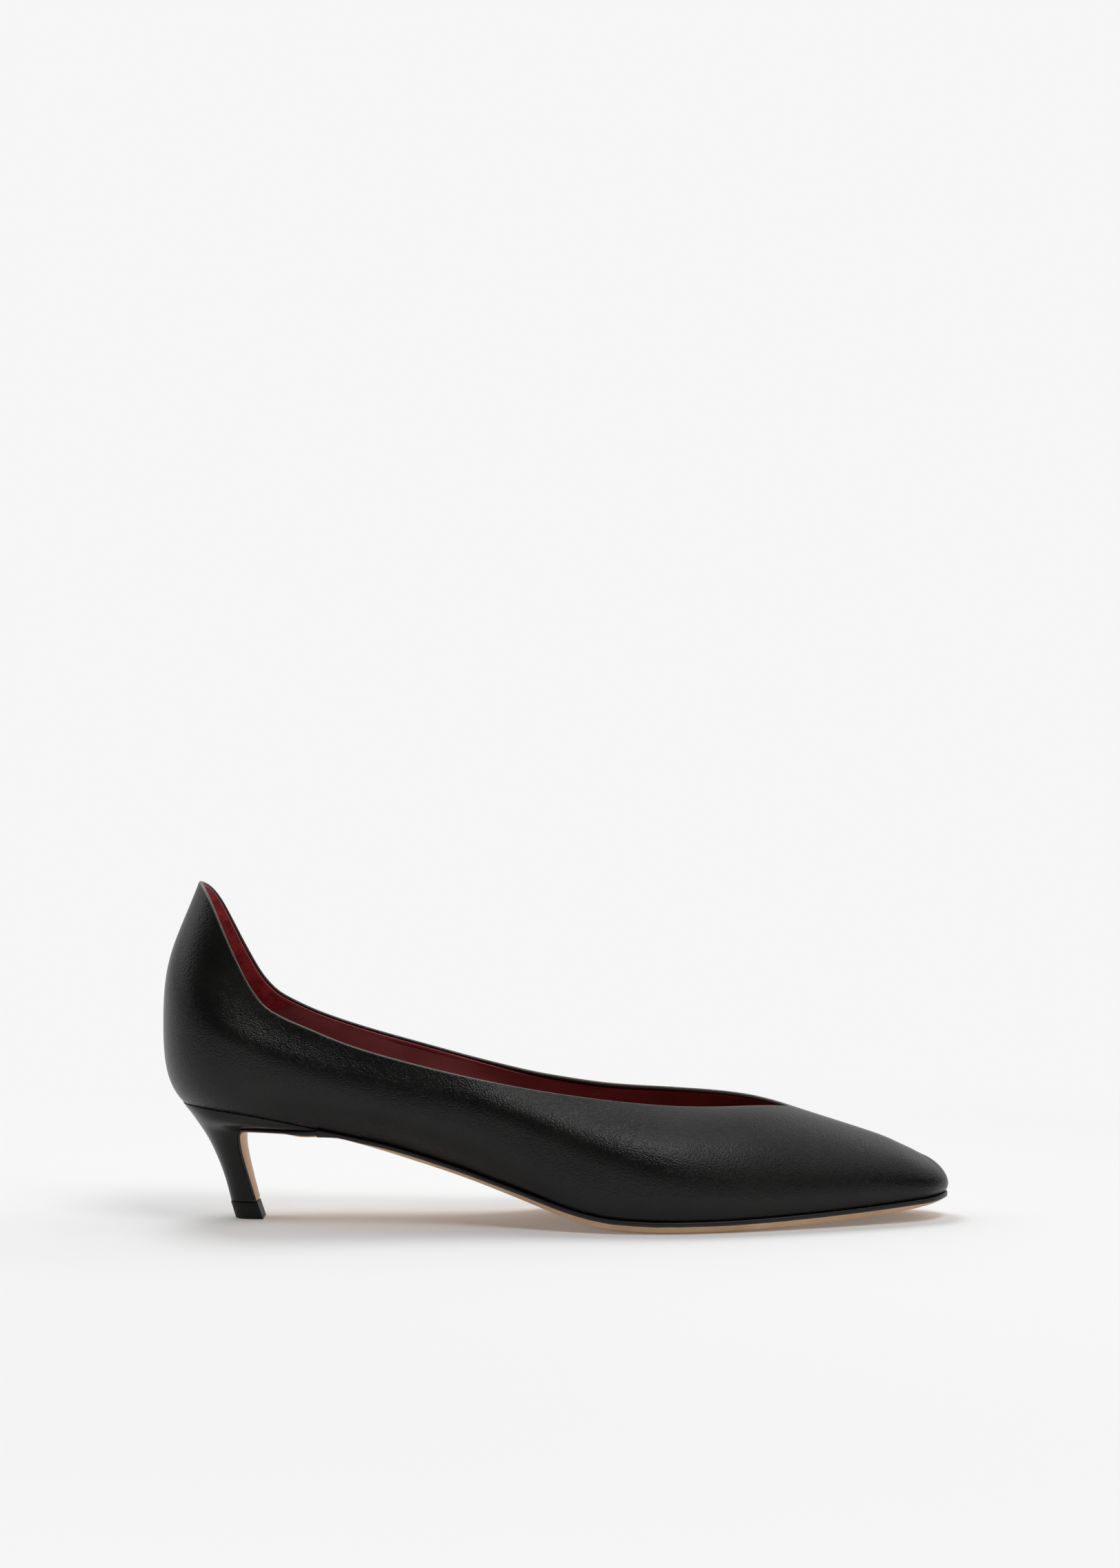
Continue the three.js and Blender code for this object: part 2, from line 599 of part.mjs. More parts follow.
function piece(name, geometry, colour, roughness) {
  const material = new THREE.MeshStandardMaterial({ color: colour, roughness, metalness: 0 });
  const mesh = new THREE.Mesh(geometry, material);
  mesh.name = name;
  return mesh;
}

const pump = new THREE.Group();
pump.add(
  piece('upper', upperShell(), 0x1d1d1d, 0.45),
  piece('insole', insolePlate(), 0x4a1015, 0.6),
  piece('outsole', outsole(), 0xd2a679, 0.55),
  piece('heel', heelBlock(), 0x1b1b1b, 0.45),
  piece('top_piece', topPiece(), 0x191919, 0.4),
);

// The origin is on the floor, under the middle of the shoe's box.
const extent = new THREE.Box3().setFromObject(pump);
const centre = extent.getCenter(new THREE.Vector3());
pump.position.set(-centre.x, -centre.y, 0);

export default pump;
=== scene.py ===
import math

import bpy
import numpy as np
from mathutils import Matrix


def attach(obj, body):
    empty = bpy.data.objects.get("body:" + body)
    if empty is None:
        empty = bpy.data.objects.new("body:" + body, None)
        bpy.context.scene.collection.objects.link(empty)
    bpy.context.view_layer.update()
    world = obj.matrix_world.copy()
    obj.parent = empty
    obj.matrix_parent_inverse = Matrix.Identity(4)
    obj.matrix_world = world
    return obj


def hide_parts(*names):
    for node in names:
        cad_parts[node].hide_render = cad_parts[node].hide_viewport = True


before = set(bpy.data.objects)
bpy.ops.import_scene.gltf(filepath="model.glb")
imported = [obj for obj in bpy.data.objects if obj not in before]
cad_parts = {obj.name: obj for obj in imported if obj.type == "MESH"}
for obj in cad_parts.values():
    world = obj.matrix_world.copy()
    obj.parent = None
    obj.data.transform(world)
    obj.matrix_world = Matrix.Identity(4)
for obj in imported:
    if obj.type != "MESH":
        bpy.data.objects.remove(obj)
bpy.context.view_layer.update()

scene = bpy.context.scene

# Lengths are in millimetres until a mesh is made: x from the heel curve to the toe, y towards the
# big toe side, z up from the floor. side is -1 on the shoe's outer side and 1 on its inner side.
shoe = {
    "length": 265,
    "ballWidth": 76.5,
    "tipInset": 4,
    "heelHeight": 39.5,
    "backHeight": 74.2,
    "throatHeight": 37.4,
    "toeSpring": 4.4,
    "archLift": 1.8,
    "seatStart": 0.025,
    "edgeEnd": 0.996,
    "treadStart": 0.63,
    "treadEnd": 0.68,
    "heelRound": 0.125,
    "toeRound": 0.05,
    "peakRound": 0.11,
    "seatLength": 46.5,
    "gap": 0.3,
}


def rowsOf(columns, *rows):
    return [dict(zip(columns.split(), row)) for row in rows]


# Half widths of the upper's bottom edge, as shares of ballWidth, at shares of the length.
edgePlan = rowsOf(
    "at outer inner",
    (0.025, 0.275, 0.275),
    (0.08, 0.308, 0.308),
    (0.14, 0.318, 0.314),
    (0.22, 0.288, 0.268),
    (0.3, 0.257, 0.222),
    (0.37, 0.272, 0.219),
    (0.44, 0.347, 0.275),
    (0.51, 0.443, 0.363),
    (0.58, 0.506, 0.444),
    (0.64, 0.514, 0.488),
    (0.7, 0.486, 0.49),
    (0.77, 0.424, 0.44),
    (0.84, 0.345, 0.36),
    (0.91, 0.258, 0.266),
    (0.96, 0.186, 0.189),
    (0.996, 0.135, 0.135),
)

# Widest line: half widths, height above the bottom edge as a share of throatHeight, the angle at
# which the wall leaves the bottom edge, and the fullness above the line.
bulge = rowsOf(
    "at outer inner rise flare full",
    (0, 0.345, 0.345, 0.72, 43, 0.48),
    (0.08, 0.385, 0.385, 0.66, 43, 0.48),
    (0.15, 0.394, 0.388, 0.54, 40, 0.48),
    (0.23, 0.385, 0.371, 0.47, 40, 0.48),
    (0.3, 0.377, 0.354, 0.465, 42, 0.48),
    (0.36, 0.38, 0.35, 0.505, 42, 0.48),
    (0.42, 0.407, 0.367, 0.545, 38, 0.48),
    (0.475, 0.452, 0.402, 0.53, 33, 0.48),
    (0.53, 0.5, 0.446, 0.475, 28, 0.48),
    (0.585, 0.535, 0.486, 0.385, 25, 0.48),
    (0.64, 0.543, 0.516, 0.3, 25, 0.48),
    (0.69, 0.52, 0.52, 0.235, 25, 0.48),
    (0.75, 0.471, 0.483, 0.195, 27, 0.48),
    (0.82, 0.391, 0.405, 0.18, 28, 0.48),
    (0.88, 0.322, 0.331, 0.16, 30, 0.48),
    (0.94, 0.237, 0.24, 0.125, 30, 0.45),
    (1, 0.15, 0.15, 0.072, 30, 0.4),
)

# Top edge from the point of the back to the V: half widths, heights as shares of the way from the
# V up to the point, and the wall's lean.
collar = rowsOf(
    "at outer inner outerUp innerUp outerLean innerLean",
    (0.0455, 0.17, 0.17, 1, 1, 21, 21),
    (0.053, 0.225, 0.225, 0.974, 0.981, 23, 23),
    (0.066, 0.252, 0.252, 0.905, 0.92, 25, 25),
    (0.081, 0.278, 0.278, 0.803, 0.815, 27, 27),
    (0.1, 0.298, 0.294, 0.67, 0.681, 27, 27),
    (0.119, 0.312, 0.308, 0.549, 0.565, 26, 26),
    (0.138, 0.322, 0.318, 0.468, 0.494, 25, 25),
    (0.157, 0.33, 0.324, 0.427, 0.455, 24, 24),
    (0.19, 0.336, 0.328, 0.377, 0.402, 24, 24),
    (0.246, 0.34, 0.328, 0.299, 0.335, 27, 26),
    (0.322, 0.339, 0.326, 0.223, 0.26, 32, 31),
    (0.409, 0.336, 0.32, 0.153, 0.18, 39, 39),
    (0.492, 0.322, 0.304, 0.099, 0.117, 52, 54),
    (0.58, 0.287, 0.27, 0.055, 0.077, 62, 68),
    (0.652, 0.24, 0.226, 0.03, 0.065, 69, 78),
    (0.705, 0.18, 0.172, 0.021, 0.056, 76, 83),
    (0.742, 0.128, 0.124, 0.019, 0.044, 81, 86),
    (0.777, 0.061, 0.06, 0.012, 0.022, 86, 88),
    (0.7995, 0, 0, 0, 0, 90, 90),
)

ridge = rowsOf(
    "at up",
    (0.7995, 1),
    (0.848, 0.89),
    (0.883, 0.81),
    (0.918, 0.724),
    (0.94, 0.653),
    (0.955, 0.603),
    (0.963, 0.569),
)

waistRise = rowsOf(
    "at up",
    (0.025, 1),
    (0.063, 0.978),
    (0.1, 0.948),
    (0.15, 0.882),
    (0.2, 0.8),
    (0.29, 0.645),
    (0.36, 0.486),
    (0.46, 0.243),
    (0.53, 0.073),
    (0.57, 0.02),
    (0.62, 0),
)


# A curve through one column of a table, evened out over a short reach.
def smoothCurve(rows, column, blur=0.012):
    at = np.array([row["at"] for row in rows], float)
    value = np.array([row[column] for row in rows], float)
    step = np.diff(value) / np.diff(at)
    slope = np.concatenate([[step[0]], np.zeros(len(at) - 2), [step[-1]]])
    for i in range(1, len(at) - 1):
        before, after = step[i - 1], step[i]
        slope[i] = 0 if before * after <= 0 else 2 * before * after / (before + after)
    fine = np.linspace(at[0], at[-1], 1600)
    i = np.clip(np.searchsorted(at, fine) - 1, 0, len(at) - 2)
    span = at[i + 1] - at[i]
    t = (fine - at[i]) / span
    u = 1 - t
    drawn = value[i] * u * u * (1 + 2 * t) + value[i + 1] * t * t * (3 - 2 * t)
    drawn = drawn + span * t * u * (slope[i] * u - slope[i + 1] * t)
    spacing = fine[1] - fine[0]
    reach = max(1, int(3 * blur / spacing))
    before = 2 * drawn[0] - drawn[reach:0:-1]
    after = 2 * drawn[-1] - drawn[-2 : -reach - 2 : -1]
    kernel = np.exp(-0.5 * (np.arange(-reach, reach + 1) * spacing / blur) ** 2)
    even = np.convolve(np.concatenate([before, drawn, after]), kernel / kernel.sum(), "valid")
    return lambda place: float(np.interp(place, fine, even))


def pairOfCurves(rows, outerColumn, innerColumn, blur=0.012):
    curves = {-1: smoothCurve(rows, outerColumn, blur), 1: smoothCurve(rows, innerColumn, blur)}
    return lambda side, place: curves[side](place)


edgeHalf = pairOfCurves(edgePlan, "outer", "inner")
bulgeHalf = pairOfCurves(bulge, "outer", "inner")
bulgeRise = smoothCurve(bulge, "rise")
bulgeFlare = smoothCurve(bulge, "flare")
bulgeFull = smoothCurve(bulge, "full")
collarHalf = pairOfCurves(collar, "outer", "inner", 0.003)
collarUp = pairOfCurves(collar, "outerUp", "innerUp", 0.003)
collarLean = pairOfCurves(collar, "outerLean", "innerLean", 0.008)
ridgeUp = smoothCurve(ridge, "up", 0.004)
waistUp = smoothCurve(waistRise, "up")

length, ballWidth, gap = shoe["length"], shoe["ballWidth"], shoe["gap"]
peakAt = collar[0]["at"] * length
throatAt = ridge[0]["at"] * length
ridgeEnd = ridge[-1]["at"] * length
seatStart, edgeEnd = shoe["seatStart"] * length, shoe["edgeEnd"] * length
treadStart, treadEnd = shoe["treadStart"] * length, shoe["treadEnd"] * length
heelRound, toeRound = shoe["heelRound"] * length, shoe["toeRound"] * length
lipTip = seatStart + shoe["seatLength"]


def mix(a, b, share):
    return a + (b - a) * share


def smoothStep(low, high, value):
    t = min(1, max(0, (value - low) / (high - low)))
    return t * t * (3 - 2 * t)


def unit(vector):
    return vector / np.linalg.norm(vector)


def flat(vector):
    return unit(np.array([vector[0], vector[1], 0.0]))


def roundEnd(distance, reach):
    left = 1 - min(1, max(0, distance / reach))
    return math.sqrt(1 - left**3)


def bezier(p0, p1, p2, p3, t):
    u = 1 - t
    return p0 * u**3 + 3 * p1 * u * u * t + 3 * p2 * u * t * t + p3 * t**3


def middle(x):
    return shoe["tipInset"] * (max(0, x / length - 0.6) / 0.4) ** 1.5


def beyondTread(x):
    return max(0, x - treadEnd) / (edgeEnd - treadEnd)


def onRidge(x):
    return x > throatAt - 1e-6


def edgeHeight(side, x):
    base = sole["thickness"] + gap
    along = min(1, max(0, (x - lipTip) / (treadStart - lipTip)))
    lift = shoe["archLift"] * math.sin(math.pi * along) ** 2 if side > 0 else 0
    spring = shoe["toeSpring"] * beyondTread(x) ** 1.6
    return mix(base, shoe["heelHeight"], waistUp(x / length)) + lift + spring


def edgePoint(side, share):
    x = mix(seatStart, edgeEnd, share)
    rounding = roundEnd(x - seatStart, heelRound) * roundEnd(edgeEnd - x, toeRound)
    y = middle(x) + side * ballWidth * edgeHalf(side, x / length) * rounding
    return np.array([x, y, edgeHeight(side, x)])


def bulgePoint(side, share):
    x = length * share
    rounding = roundEnd(x, heelRound) * roundEnd(length - x, toeRound)
    y = middle(x) + side * ballWidth * bulgeHalf(side, share) * rounding
    return np.array([x, y, edgePoint(side, share)[2] + shoe["throatHeight"] * bulgeRise(share)])


def topPoint(side, share):
    x = mix(peakAt, ridgeEnd, share)
    if onRidge(x):
        return np.array([x, middle(x), shoe["throatHeight"] * ridgeUp(x / length)])
    half = collarHalf(side, x / length) * roundEnd(x - peakAt, shoe["peakRound"] * length)
    peak = shoe["heelHeight"] + shoe["backHeight"]
    z = mix(shoe["throatHeight"], peak, collarUp(side, x / length))
    return np.array([x, middle(x) + side * ballWidth * half, z])


def ridgeFall(x):
    ahead, step = max(x, throatAt), length / 200
    drop = ridgeUp((ahead - step) / length) - ridgeUp((ahead + step) / length)
    return shoe["throatHeight"] * drop / (2 * step)


def topDirection(side, top, inward):
    lean = math.radians(90 if onRidge(top[0]) else collarLean(side, top[0] / length))
    lying = smoothStep(0.8, 1, math.sin(lean))
    up = math.cos(lean) - lying * inward[0] * ridgeFall(top[0])
    return unit(np.array([inward[0] * math.sin(lean), inward[1] * math.sin(lean), up]))


def edgeOutward(side, share):
    if share < 1e-4:
        return np.array([-1.0, 0, 0])
    if share > 1 - 1e-4:
        return np.array([1.0, 0, 0])
    along = edgePoint(side, share + 5e-5) - edgePoint(side, share - 5e-5)
    return flat([-side * along[1], side * along[0]])


def inMetres(points):
    shift = np.array([length / 2, middleShift, 0])
    return [tuple((p - shift) / 1000) for p in points]


# Gathers corners and faces. Corners at one place become one.
class MeshMaker:
    def __init__(self):
        self.points, self.marks, self.faces, self.places = [], [], [], {}

    def corner(self, point, mark=0.0):
        place = tuple(round(float(value), 4) for value in point)
        if place not in self.places:
            self.places[place] = len(self.points)
            self.points.append(np.array(point, float))
            self.marks.append(mark)
        return self.places[place]

    def face(self, *corners):
        ring = [v for i, v in enumerate(corners) if v != corners[i - 1]]
        if len(ring) > 2 and len(set(ring)) == len(ring):
            self.faces.append(ring)

    def strip(self, here, there):
        for j in range(len(here) - 1):
            self.face(here[j], there[j], there[j + 1], here[j + 1])

    def mesh(self, name):
        made = bpy.data.meshes.new(name)
        made.from_pydata(inMetres(self.points), [], self.faces)
        made.update()
        volume = 0.0
        for polygon in made.polygons:
            corners = [made.vertices[i].co for i in polygon.vertices]
            for i in range(1, len(corners) - 1):
                volume += corners[0].dot(corners[i].cross(corners[i + 1]))
        if volume < 0:
            made.flip_normals()
        return made


def addPiece(name, maker, material, markName=None, sharp=None):
    mesh = maker.mesh(name)
    if markName:
        marks = mesh.attributes.new(markName, "FLOAT", "POINT")
        marks.data.foreach_set("value", maker.marks)
    for polygon in mesh.polygons:
        polygon.use_smooth = True
    if sharp:
        mesh.set_sharp_from_angle(angle=math.radians(sharp))
    piece = bpy.data.objects.new(name, mesh)
    scene.collection.objects.link(piece)
    mesh.materials.append(material)
    print("made", name, len(mesh.polygons), "faces")
    return piece


# Skins rings of equal length and closes both ends. Corner j of an end is joined to corner
# start - j: start is 0 in rings that begin on their middle line, -1 in those that go across one
# face and back along the other.
def loftRings(rings, marks=None, start=0):
    maker = MeshMaker()
    corners = len(rings[0])
    marks = marks or [0.0] * corners
    numbers = [[maker.corner(p, mark) for p, mark in zip(ring, marks)] for ring in rings]
    for here, there in zip(numbers, numbers[1:]):
        maker.strip(here + here[:1], there + there[:1])
    for ring, flipped in ((numbers[0], True), (numbers[-1], False)):
        for j in range(corners // 2):
            across = (start - j) % corners
            face = [ring[j], ring[across], ring[across - 1], ring[j + 1]]
            maker.face(*(face[::-1] if flipped else face))
    return maker


# A socket that can be used in sums.
class Value:
    def __init__(self, finish, socket):
        self.finish, self.socket = finish, socket

    def sum(self, operation, first, second):
        return self.finish.node("ShaderNodeMath", {"operation": operation}, {0: first, 1: second})

    def __add__(self, other):
        return self.sum("ADD", self, other)

    def __radd__(self, other):
        return self.sum("ADD", other, self)

    def __sub__(self, other):
        return self.sum("SUBTRACT", self, other)

    def __rsub__(self, other):
        return self.sum("SUBTRACT", other, self)

    def __mul__(self, other):
        return self.sum("MULTIPLY", self, other)

    def __rmul__(self, other):
        return self.sum("MULTIPLY", other, self)


# The node tree of a material or of the world.
class Finish:
    def __init__(self, owner):
        self.owner = owner
        owner.use_nodes = True
        self.nodes, self.links = owner.node_tree.nodes, owner.node_tree.links
        self.nodes.clear()

    def node(self, kind, settings=None, values=None, out=0):
        made = self.nodes.new(kind)
        for key, value in (settings or {}).items():
            setattr(made, key, value)
        for key, value in (values or {}).items():
            if isinstance(value, Value):
                self.links.new(value.socket, made.inputs[key])
            else:
                made.inputs[key].default_value = value
        return Value(self, made.outputs[out]) if made.outputs else None

    def noise(self, where, scale, detail=2.0, roughness=0.5):
        values = {"Vector": where, "Scale": scale, "Detail": detail, "Roughness": roughness}
        return self.node("ShaderNodeTexNoise", {}, values)

    def cells(self, where, scale, smoothness=0.4):
        values = {"Vector": where, "Scale": scale, "Smoothness": smoothness}
        return self.node("ShaderNodeTexVoronoi", {"feature": "SMOOTH_F1"}, values, "Distance")

    def between(self, value, low, high):
        values = {"Value": value, "From Min": low, "From Max": high}
        return self.node("ShaderNodeMapRange", {"interpolation_type": "SMOOTHSTEP"}, values)

    def blend(self, share, a, b):
        a, b = (value if isinstance(value, Value) else (*value, 1) for value in (a, b))
        return self.node("ShaderNodeMix", {"data_type": "RGBA"}, {0: share, 6: a, 7: b}, 2)

    def vectors(self, operation, *values):
        return self.node("ShaderNodeVectorMath", {"operation": operation}, dict(enumerate(values)))

    def bump(self, height, depth):
        return self.node("ShaderNodeBump", {}, {"Height": height, "Distance": depth})

    def attribute(self, name):
        return self.node("ShaderNodeAttribute", {"attribute_name": name}, {}, "Fac")

    def stretched(self, where, scale, turn=(0, 0, 0)):
        values = {"Vector": where, "Scale": scale, "Rotation": turn}
        return self.node("ShaderNodeMapping", {}, values)

    def surface(self, **values):
        values = {key.replace("_", " "): value for key, value in values.items()}
        shader = self.node("ShaderNodeBsdfPrincipled", {}, values)
        self.node("ShaderNodeOutputMaterial", {}, {"Surface": shader})
        return self.owner


def startFinish(name):
    finish = Finish(bpy.data.materials.new(name))
    return finish, finish.node("ShaderNodeTexCoord", out="Object")


nappa = {
    "colour": (0.0052, 0.005, 0.0048),
    "worn": (0.0095, 0.0088, 0.008),
    "crestHighlight": (0.15, 0.135, 0.11),  # painted highlight where the topline is folded over, lightest where it faces up
    "pebbles": 1900,  # to the metre
    "finePebbles": 3610,
    "pores": 3000,
    "clouds": 45,
    "relief": {"pores": 0.25, "pebbles": -1.1, "finePebbles": -0.3},
    "creases": 350,  # short wavy creases, to the metre, and how far they stray
    "creaseStray": 0.001,
    "drawnOver": (0.75, 1, 1.15),  # the skin is pulled along the last
    "drawnTurn": (0, 0.5, 0),
    "grainDepth": 0.00009,
    "heelShare": 0.35,  # of that depth on the heel, where the skin is pulled tight
    "roughness": 0.31,
    "gloss": 0.27,
    "roughSpread": 0.1,
}


def nappaLeather(name, grainShare=1.0):
    skin, where = startFinish(name)
    creases = {"Vector": where, "Scale": nappa["creases"], "Detail": 1}
    wander = skin.node("ShaderNodeTexNoise", {}, creases, "Color")
    bent = skin.vectors("MULTIPLY_ADD", wander, (nappa["creaseStray"],) * 3, where)
    drawn = skin.stretched(bent, nappa["drawnOver"], nappa["drawnTurn"])
    pebbles = skin.cells(drawn, nappa["pebbles"])
    fine = skin.cells(drawn, nappa["finePebbles"])
    pores = skin.noise(where, nappa["pores"], 2)
    cloud = skin.noise(where, nappa["clouds"], 3)
    relief = nappa["relief"]
    height = pores * relief["pores"] + pebbles * relief["pebbles"] + fine * relief["finePebbles"]
    base = skin.blend(skin.between(cloud, 0.35, 0.7), nappa["colour"], nappa["worn"])
    # The fold's top is painted lighter as a highlight, most where the rim faces up.
    base = skin.blend(skin.attribute("crestHighlight"), base, nappa["crestHighlight"])
    return skin.surface(
        Base_Color=base,
        Roughness=nappa["roughness"] + nappa["roughSpread"] * (cloud - 0.5),
        Normal=skin.bump(height, nappa["grainDepth"] * grainShare),
        Specular_IOR_Level=nappa["gloss"],
    )


# Smooth dyed lining leather. The lining's cut top edge is paler, with a painted sheen on top of
# that.
redLeather = {
    "lining": {
        "dark": (0.25, 0.068, 0.068),
        "light": (0.32, 0.094, 0.094),
        "cut": (0.55, 0.24, 0.24),
    },
    "sock": {"dark": (0.26, 0.055, 0.057), "light": (0.33, 0.078, 0.08)},
    # The edge cord's red is painted lighter than the lining's, as a highlight line along the
    # topline.
    "edge": {"dark": (0.45, 0.06, 0.07), "light": (0.55, 0.09, 0.1)},
    "clouds": 70,
    "grain": 1500,
    "fine": 2400,
    "relief": 0.6,
    "grainDepth": 0.00003,
    "roughness": 0.48,
    "roughSpread": 0.12,
}


def liningLeather(part):
    skin, where = startFinish("red_" + part)
    colours = redLeather[part]
    cloud = skin.noise(where, redLeather["clouds"], 4)
    fine = skin.noise(where, redLeather["fine"], 3)
    grain = skin.cells(where, redLeather["grain"])
    base = skin.blend(skin.between(cloud, 0.3, 0.7), colours["dark"], colours["light"])
    if "cut" in colours:
        # Paler cut edge with a painted sheen: the lining's top turns lighter.
        base = skin.blend(skin.attribute("cut"), base, colours["cut"])
    height = fine * redLeather["relief"] - grain * redLeather["relief"]
    return skin.surface(
        Base_Color=base,
        Roughness=redLeather["roughness"] + redLeather["roughSpread"] * fine,
        Normal=skin.bump(height, redLeather["grainDepth"]),
    )


suede = {
    "dark": (0.2, 0.007, 0.009),
    "light": (0.42, 0.03, 0.035),
    "mottle": 240,
    "nap": 1900,
    "napDepth": 0.0002,
    "roughness": 0.95,
    "sheen": 0.15,
}


def brushedSuede(name):
    skin, where = startFinish(name)
    brushed = skin.noise(where, suede["mottle"], 4, 0.6)
    nap = skin.noise(where, suede["nap"], 4, 0.7)
    worn = skin.between(brushed * 0.6 + nap * 0.4, 0.4, 0.62)
    return skin.surface(
        Base_Color=skin.blend(worn, suede["dark"], suede["light"]),
        Roughness=suede["roughness"],
        Normal=skin.bump(nap + brushed * 0.4, suede["napDepth"]),
        Sheen_Weight=suede["sheen"],
    )


# Natural sole leather. Its edge is painted dark down to where the bevel starts, where the depth
# marks pass 1, and the paint ends in a slightly wandering line.
tanSole = {
    "dark": (0.6, 0.375, 0.21),
    "light": (0.74, 0.5, 0.31),
    "paintDark": (0.012, 0.0105, 0.0125),
    "paintLight": (0.02, 0.017, 0.02),
    "clouds": 36,
    "fibres": 1400,
    "fibreStretch": (0.3, 1, 1),
    "fibreDepth": 0.00003,
    "paintWander": 260,
    "paintStray": 0.08,
    "paintEnd": (1.0, 1.09),
    "paintRough": 0.34,
    "bareRough": 0.16,  # more than the paint's
    "roughSpread": 0.1,
}


def paintedSole(name):
    skin, where = startFinish(name)
    wander = skin.noise(where, tanSole["paintWander"], 2)
    edge = skin.attribute("depth") + tanSole["paintStray"] * wander
    bare = skin.between(edge, *tanSole["paintEnd"])
    fibre = skin.noise(skin.stretched(where, tanSole["fibreStretch"]), tanSole["fibres"], 4, 0.65)
    cloud = skin.noise(where, tanSole["clouds"], 4, 0.6)
    mottle = skin.between(cloud + 0.3 * fibre, 0.45, 0.85)
    tan = skin.blend(mottle, tanSole["dark"], tanSole["light"])
    brushed = skin.between(cloud, 0.3, 0.7)
    paint = skin.blend(brushed, tanSole["paintDark"], tanSole["paintLight"])
    rough = tanSole["paintRough"] + bare * tanSole["bareRough"]
    return skin.surface(
        Base_Color=skin.blend(bare, paint, tan),
        Roughness=rough + tanSole["roughSpread"] * fibre,
        Normal=skin.bump(fibre, tanSole["fibreDepth"]),
    )


rubber = {
    "dark": (0.006, 0.0058, 0.006),
    "light": (0.011, 0.0106, 0.011),
    "fine": 1700,
    "depth": 0.00002,
    "roughness": 0.5,
    "roughSpread": 0.12,
    "gloss": 0.3,
}


def treadRubber(name):
    skin, where = startFinish(name)
    fine = skin.noise(where, rubber["fine"], 4, 0.6)
    return skin.surface(
        Base_Color=skin.blend(skin.between(fine, 0.3, 0.7), rubber["dark"], rubber["light"]),
        Roughness=rubber["roughness"] + rubber["roughSpread"] * fine,
        Normal=skin.bump(fine, rubber["depth"]),
        Specular_IOR_Level=rubber["gloss"],
    )


blackNappa = nappaLeather("black_nappa")
heelNappa = nappaLeather("heel_nappa", nappa["heelShare"])
redLining, redSock, redEdgeHighlight = (liningLeather(part) for part in ("lining", "sock", "edge"))
redSuede = brushedSuede("red_suede")
soleFinish = paintedSole("tan_sole_leather")
treadFinish = treadRubber("black_tread_rubber")
print("materials made")

upper = {
    "wall": 1.6,
    "edgeSlant": 1.25,  # the wall is cut level at its bottom edge, where it slants
    "rimRadius": 0.72,
    "rimSteps": 8,
    "rimBlend": 9,  # the higher, the closer to the rim the skin bends in to it
    "foldRear": 0.3,  # how far the folded edge shows inside, at the back
    "foldFront": 1.3,  # and round the V
    "foldChange": (100, 150),
    "foldTuck": (0.03, 0.06, 1.2),  # its cut edge turns in, on past the fold, and in to here
    "crestUp": (0.35, 0.8),  # painted highlight on the fold: where the rim looks up
    "crestOver": (0.5, 0.9),  # and fainter all along it
    "crestShare": 0.6,
    "leather": 1.0,
    "leatherStart": 0.2,  # past the fold, inside
    "edgePull": 0.3,  # how long a line keeps its way from the bottom edge
    "widePull": 0.5,  # and up to the widest line
    "vampGap": 3.2,
    "lowRows": 12,
    "highRows": 34,
    "heelLines": 26,
    "collarLines": 84,
    "vampLines": 20,
    "toeLines": 22,
    "tipReach": 9,  # the hollow where the ridge runs out over the toe is drawn flat
    "tipPasses": 90,
    "throatReach": 12,  # lines either side of the V over which the vamp's crease is eased
    "throatPasses": 20,
    "throatFade": (6, 4),  # rows by the bottom edge and by the topline that keep their place
}
sole = {
    "thickness": 3.9,
    "toeThickness": 2.1,
    "waistThickness": 2.8,
    "lipThickness": 1.0,
    "lipDrop": 1.1,
    "lipRun": 0.13,  # of the length, over which the lip thickens into the waist
    "lipSlope": 0.03,  # of its underside, forward of the heel
    "lipEase": 0.1,
    "lipPaint": 0.95,  # share of the edge that is painted at the lip, giving way to "edge"
    "lipPaintRun": (1, 20),
    "lipStart": 0.35,
    "flapThickness": 0.9,
    "flapBevel": 0.25,
    "edge": 1.4,
    "edgeShare": 0.8,  # and at most this share of the thickness
    "bevel": 2.3,
    "bevelSteps": (0.08, 0.2, 0.36, 0.54, 0.74, 1),
    "lip": 0.8,
    "topRound": 0.25,
    "toeCurl": 0.35,
    "curlFrom": 0.93,
}
lowRows, highRows = upper["lowRows"], upper["highRows"]
topRow = lowRows + highRows
throatLine = upper["heelLines"] + upper["collarLines"]


# One upright line of the upper's outside, from its bottom edge over the widest line.
def wallLine(side, share):
    edge, wide, top = edgePoint(side, share), bulgePoint(side, share), topPoint(side, share)
    outward, inward = flat(wide - edge), flat(top - wide)
    flare, full = math.radians(bulgeFlare(share)), bulgeFull(share)
    start = outward * math.sin(flare) + np.array([0, 0, math.cos(flare)])
    finish = topDirection(side, top, inward)
    low = edge + start * upper["edgePull"] * np.linalg.norm(wide - edge)
    lowWide = np.array([wide[0], wide[1], wide[2] - upper["widePull"] * (wide[2] - edge[2])])
    highWide = np.array([wide[0], wide[1], wide[2] + full * (top[2] - wide[2])])
    high = top - finish * full * float(np.dot(top - wide, finish))
    lowPart = [bezier(edge, low, lowWide, wide, j / lowRows) for j in range(lowRows)]
    steps = range(highRows + 1)
    return lowPart + [bezier(wide, highWide, high, top, j / highRows) for j in steps]


def evenShares(lines, last=False):
    return [i / lines for i in range(lines + 1 if last else lines)]


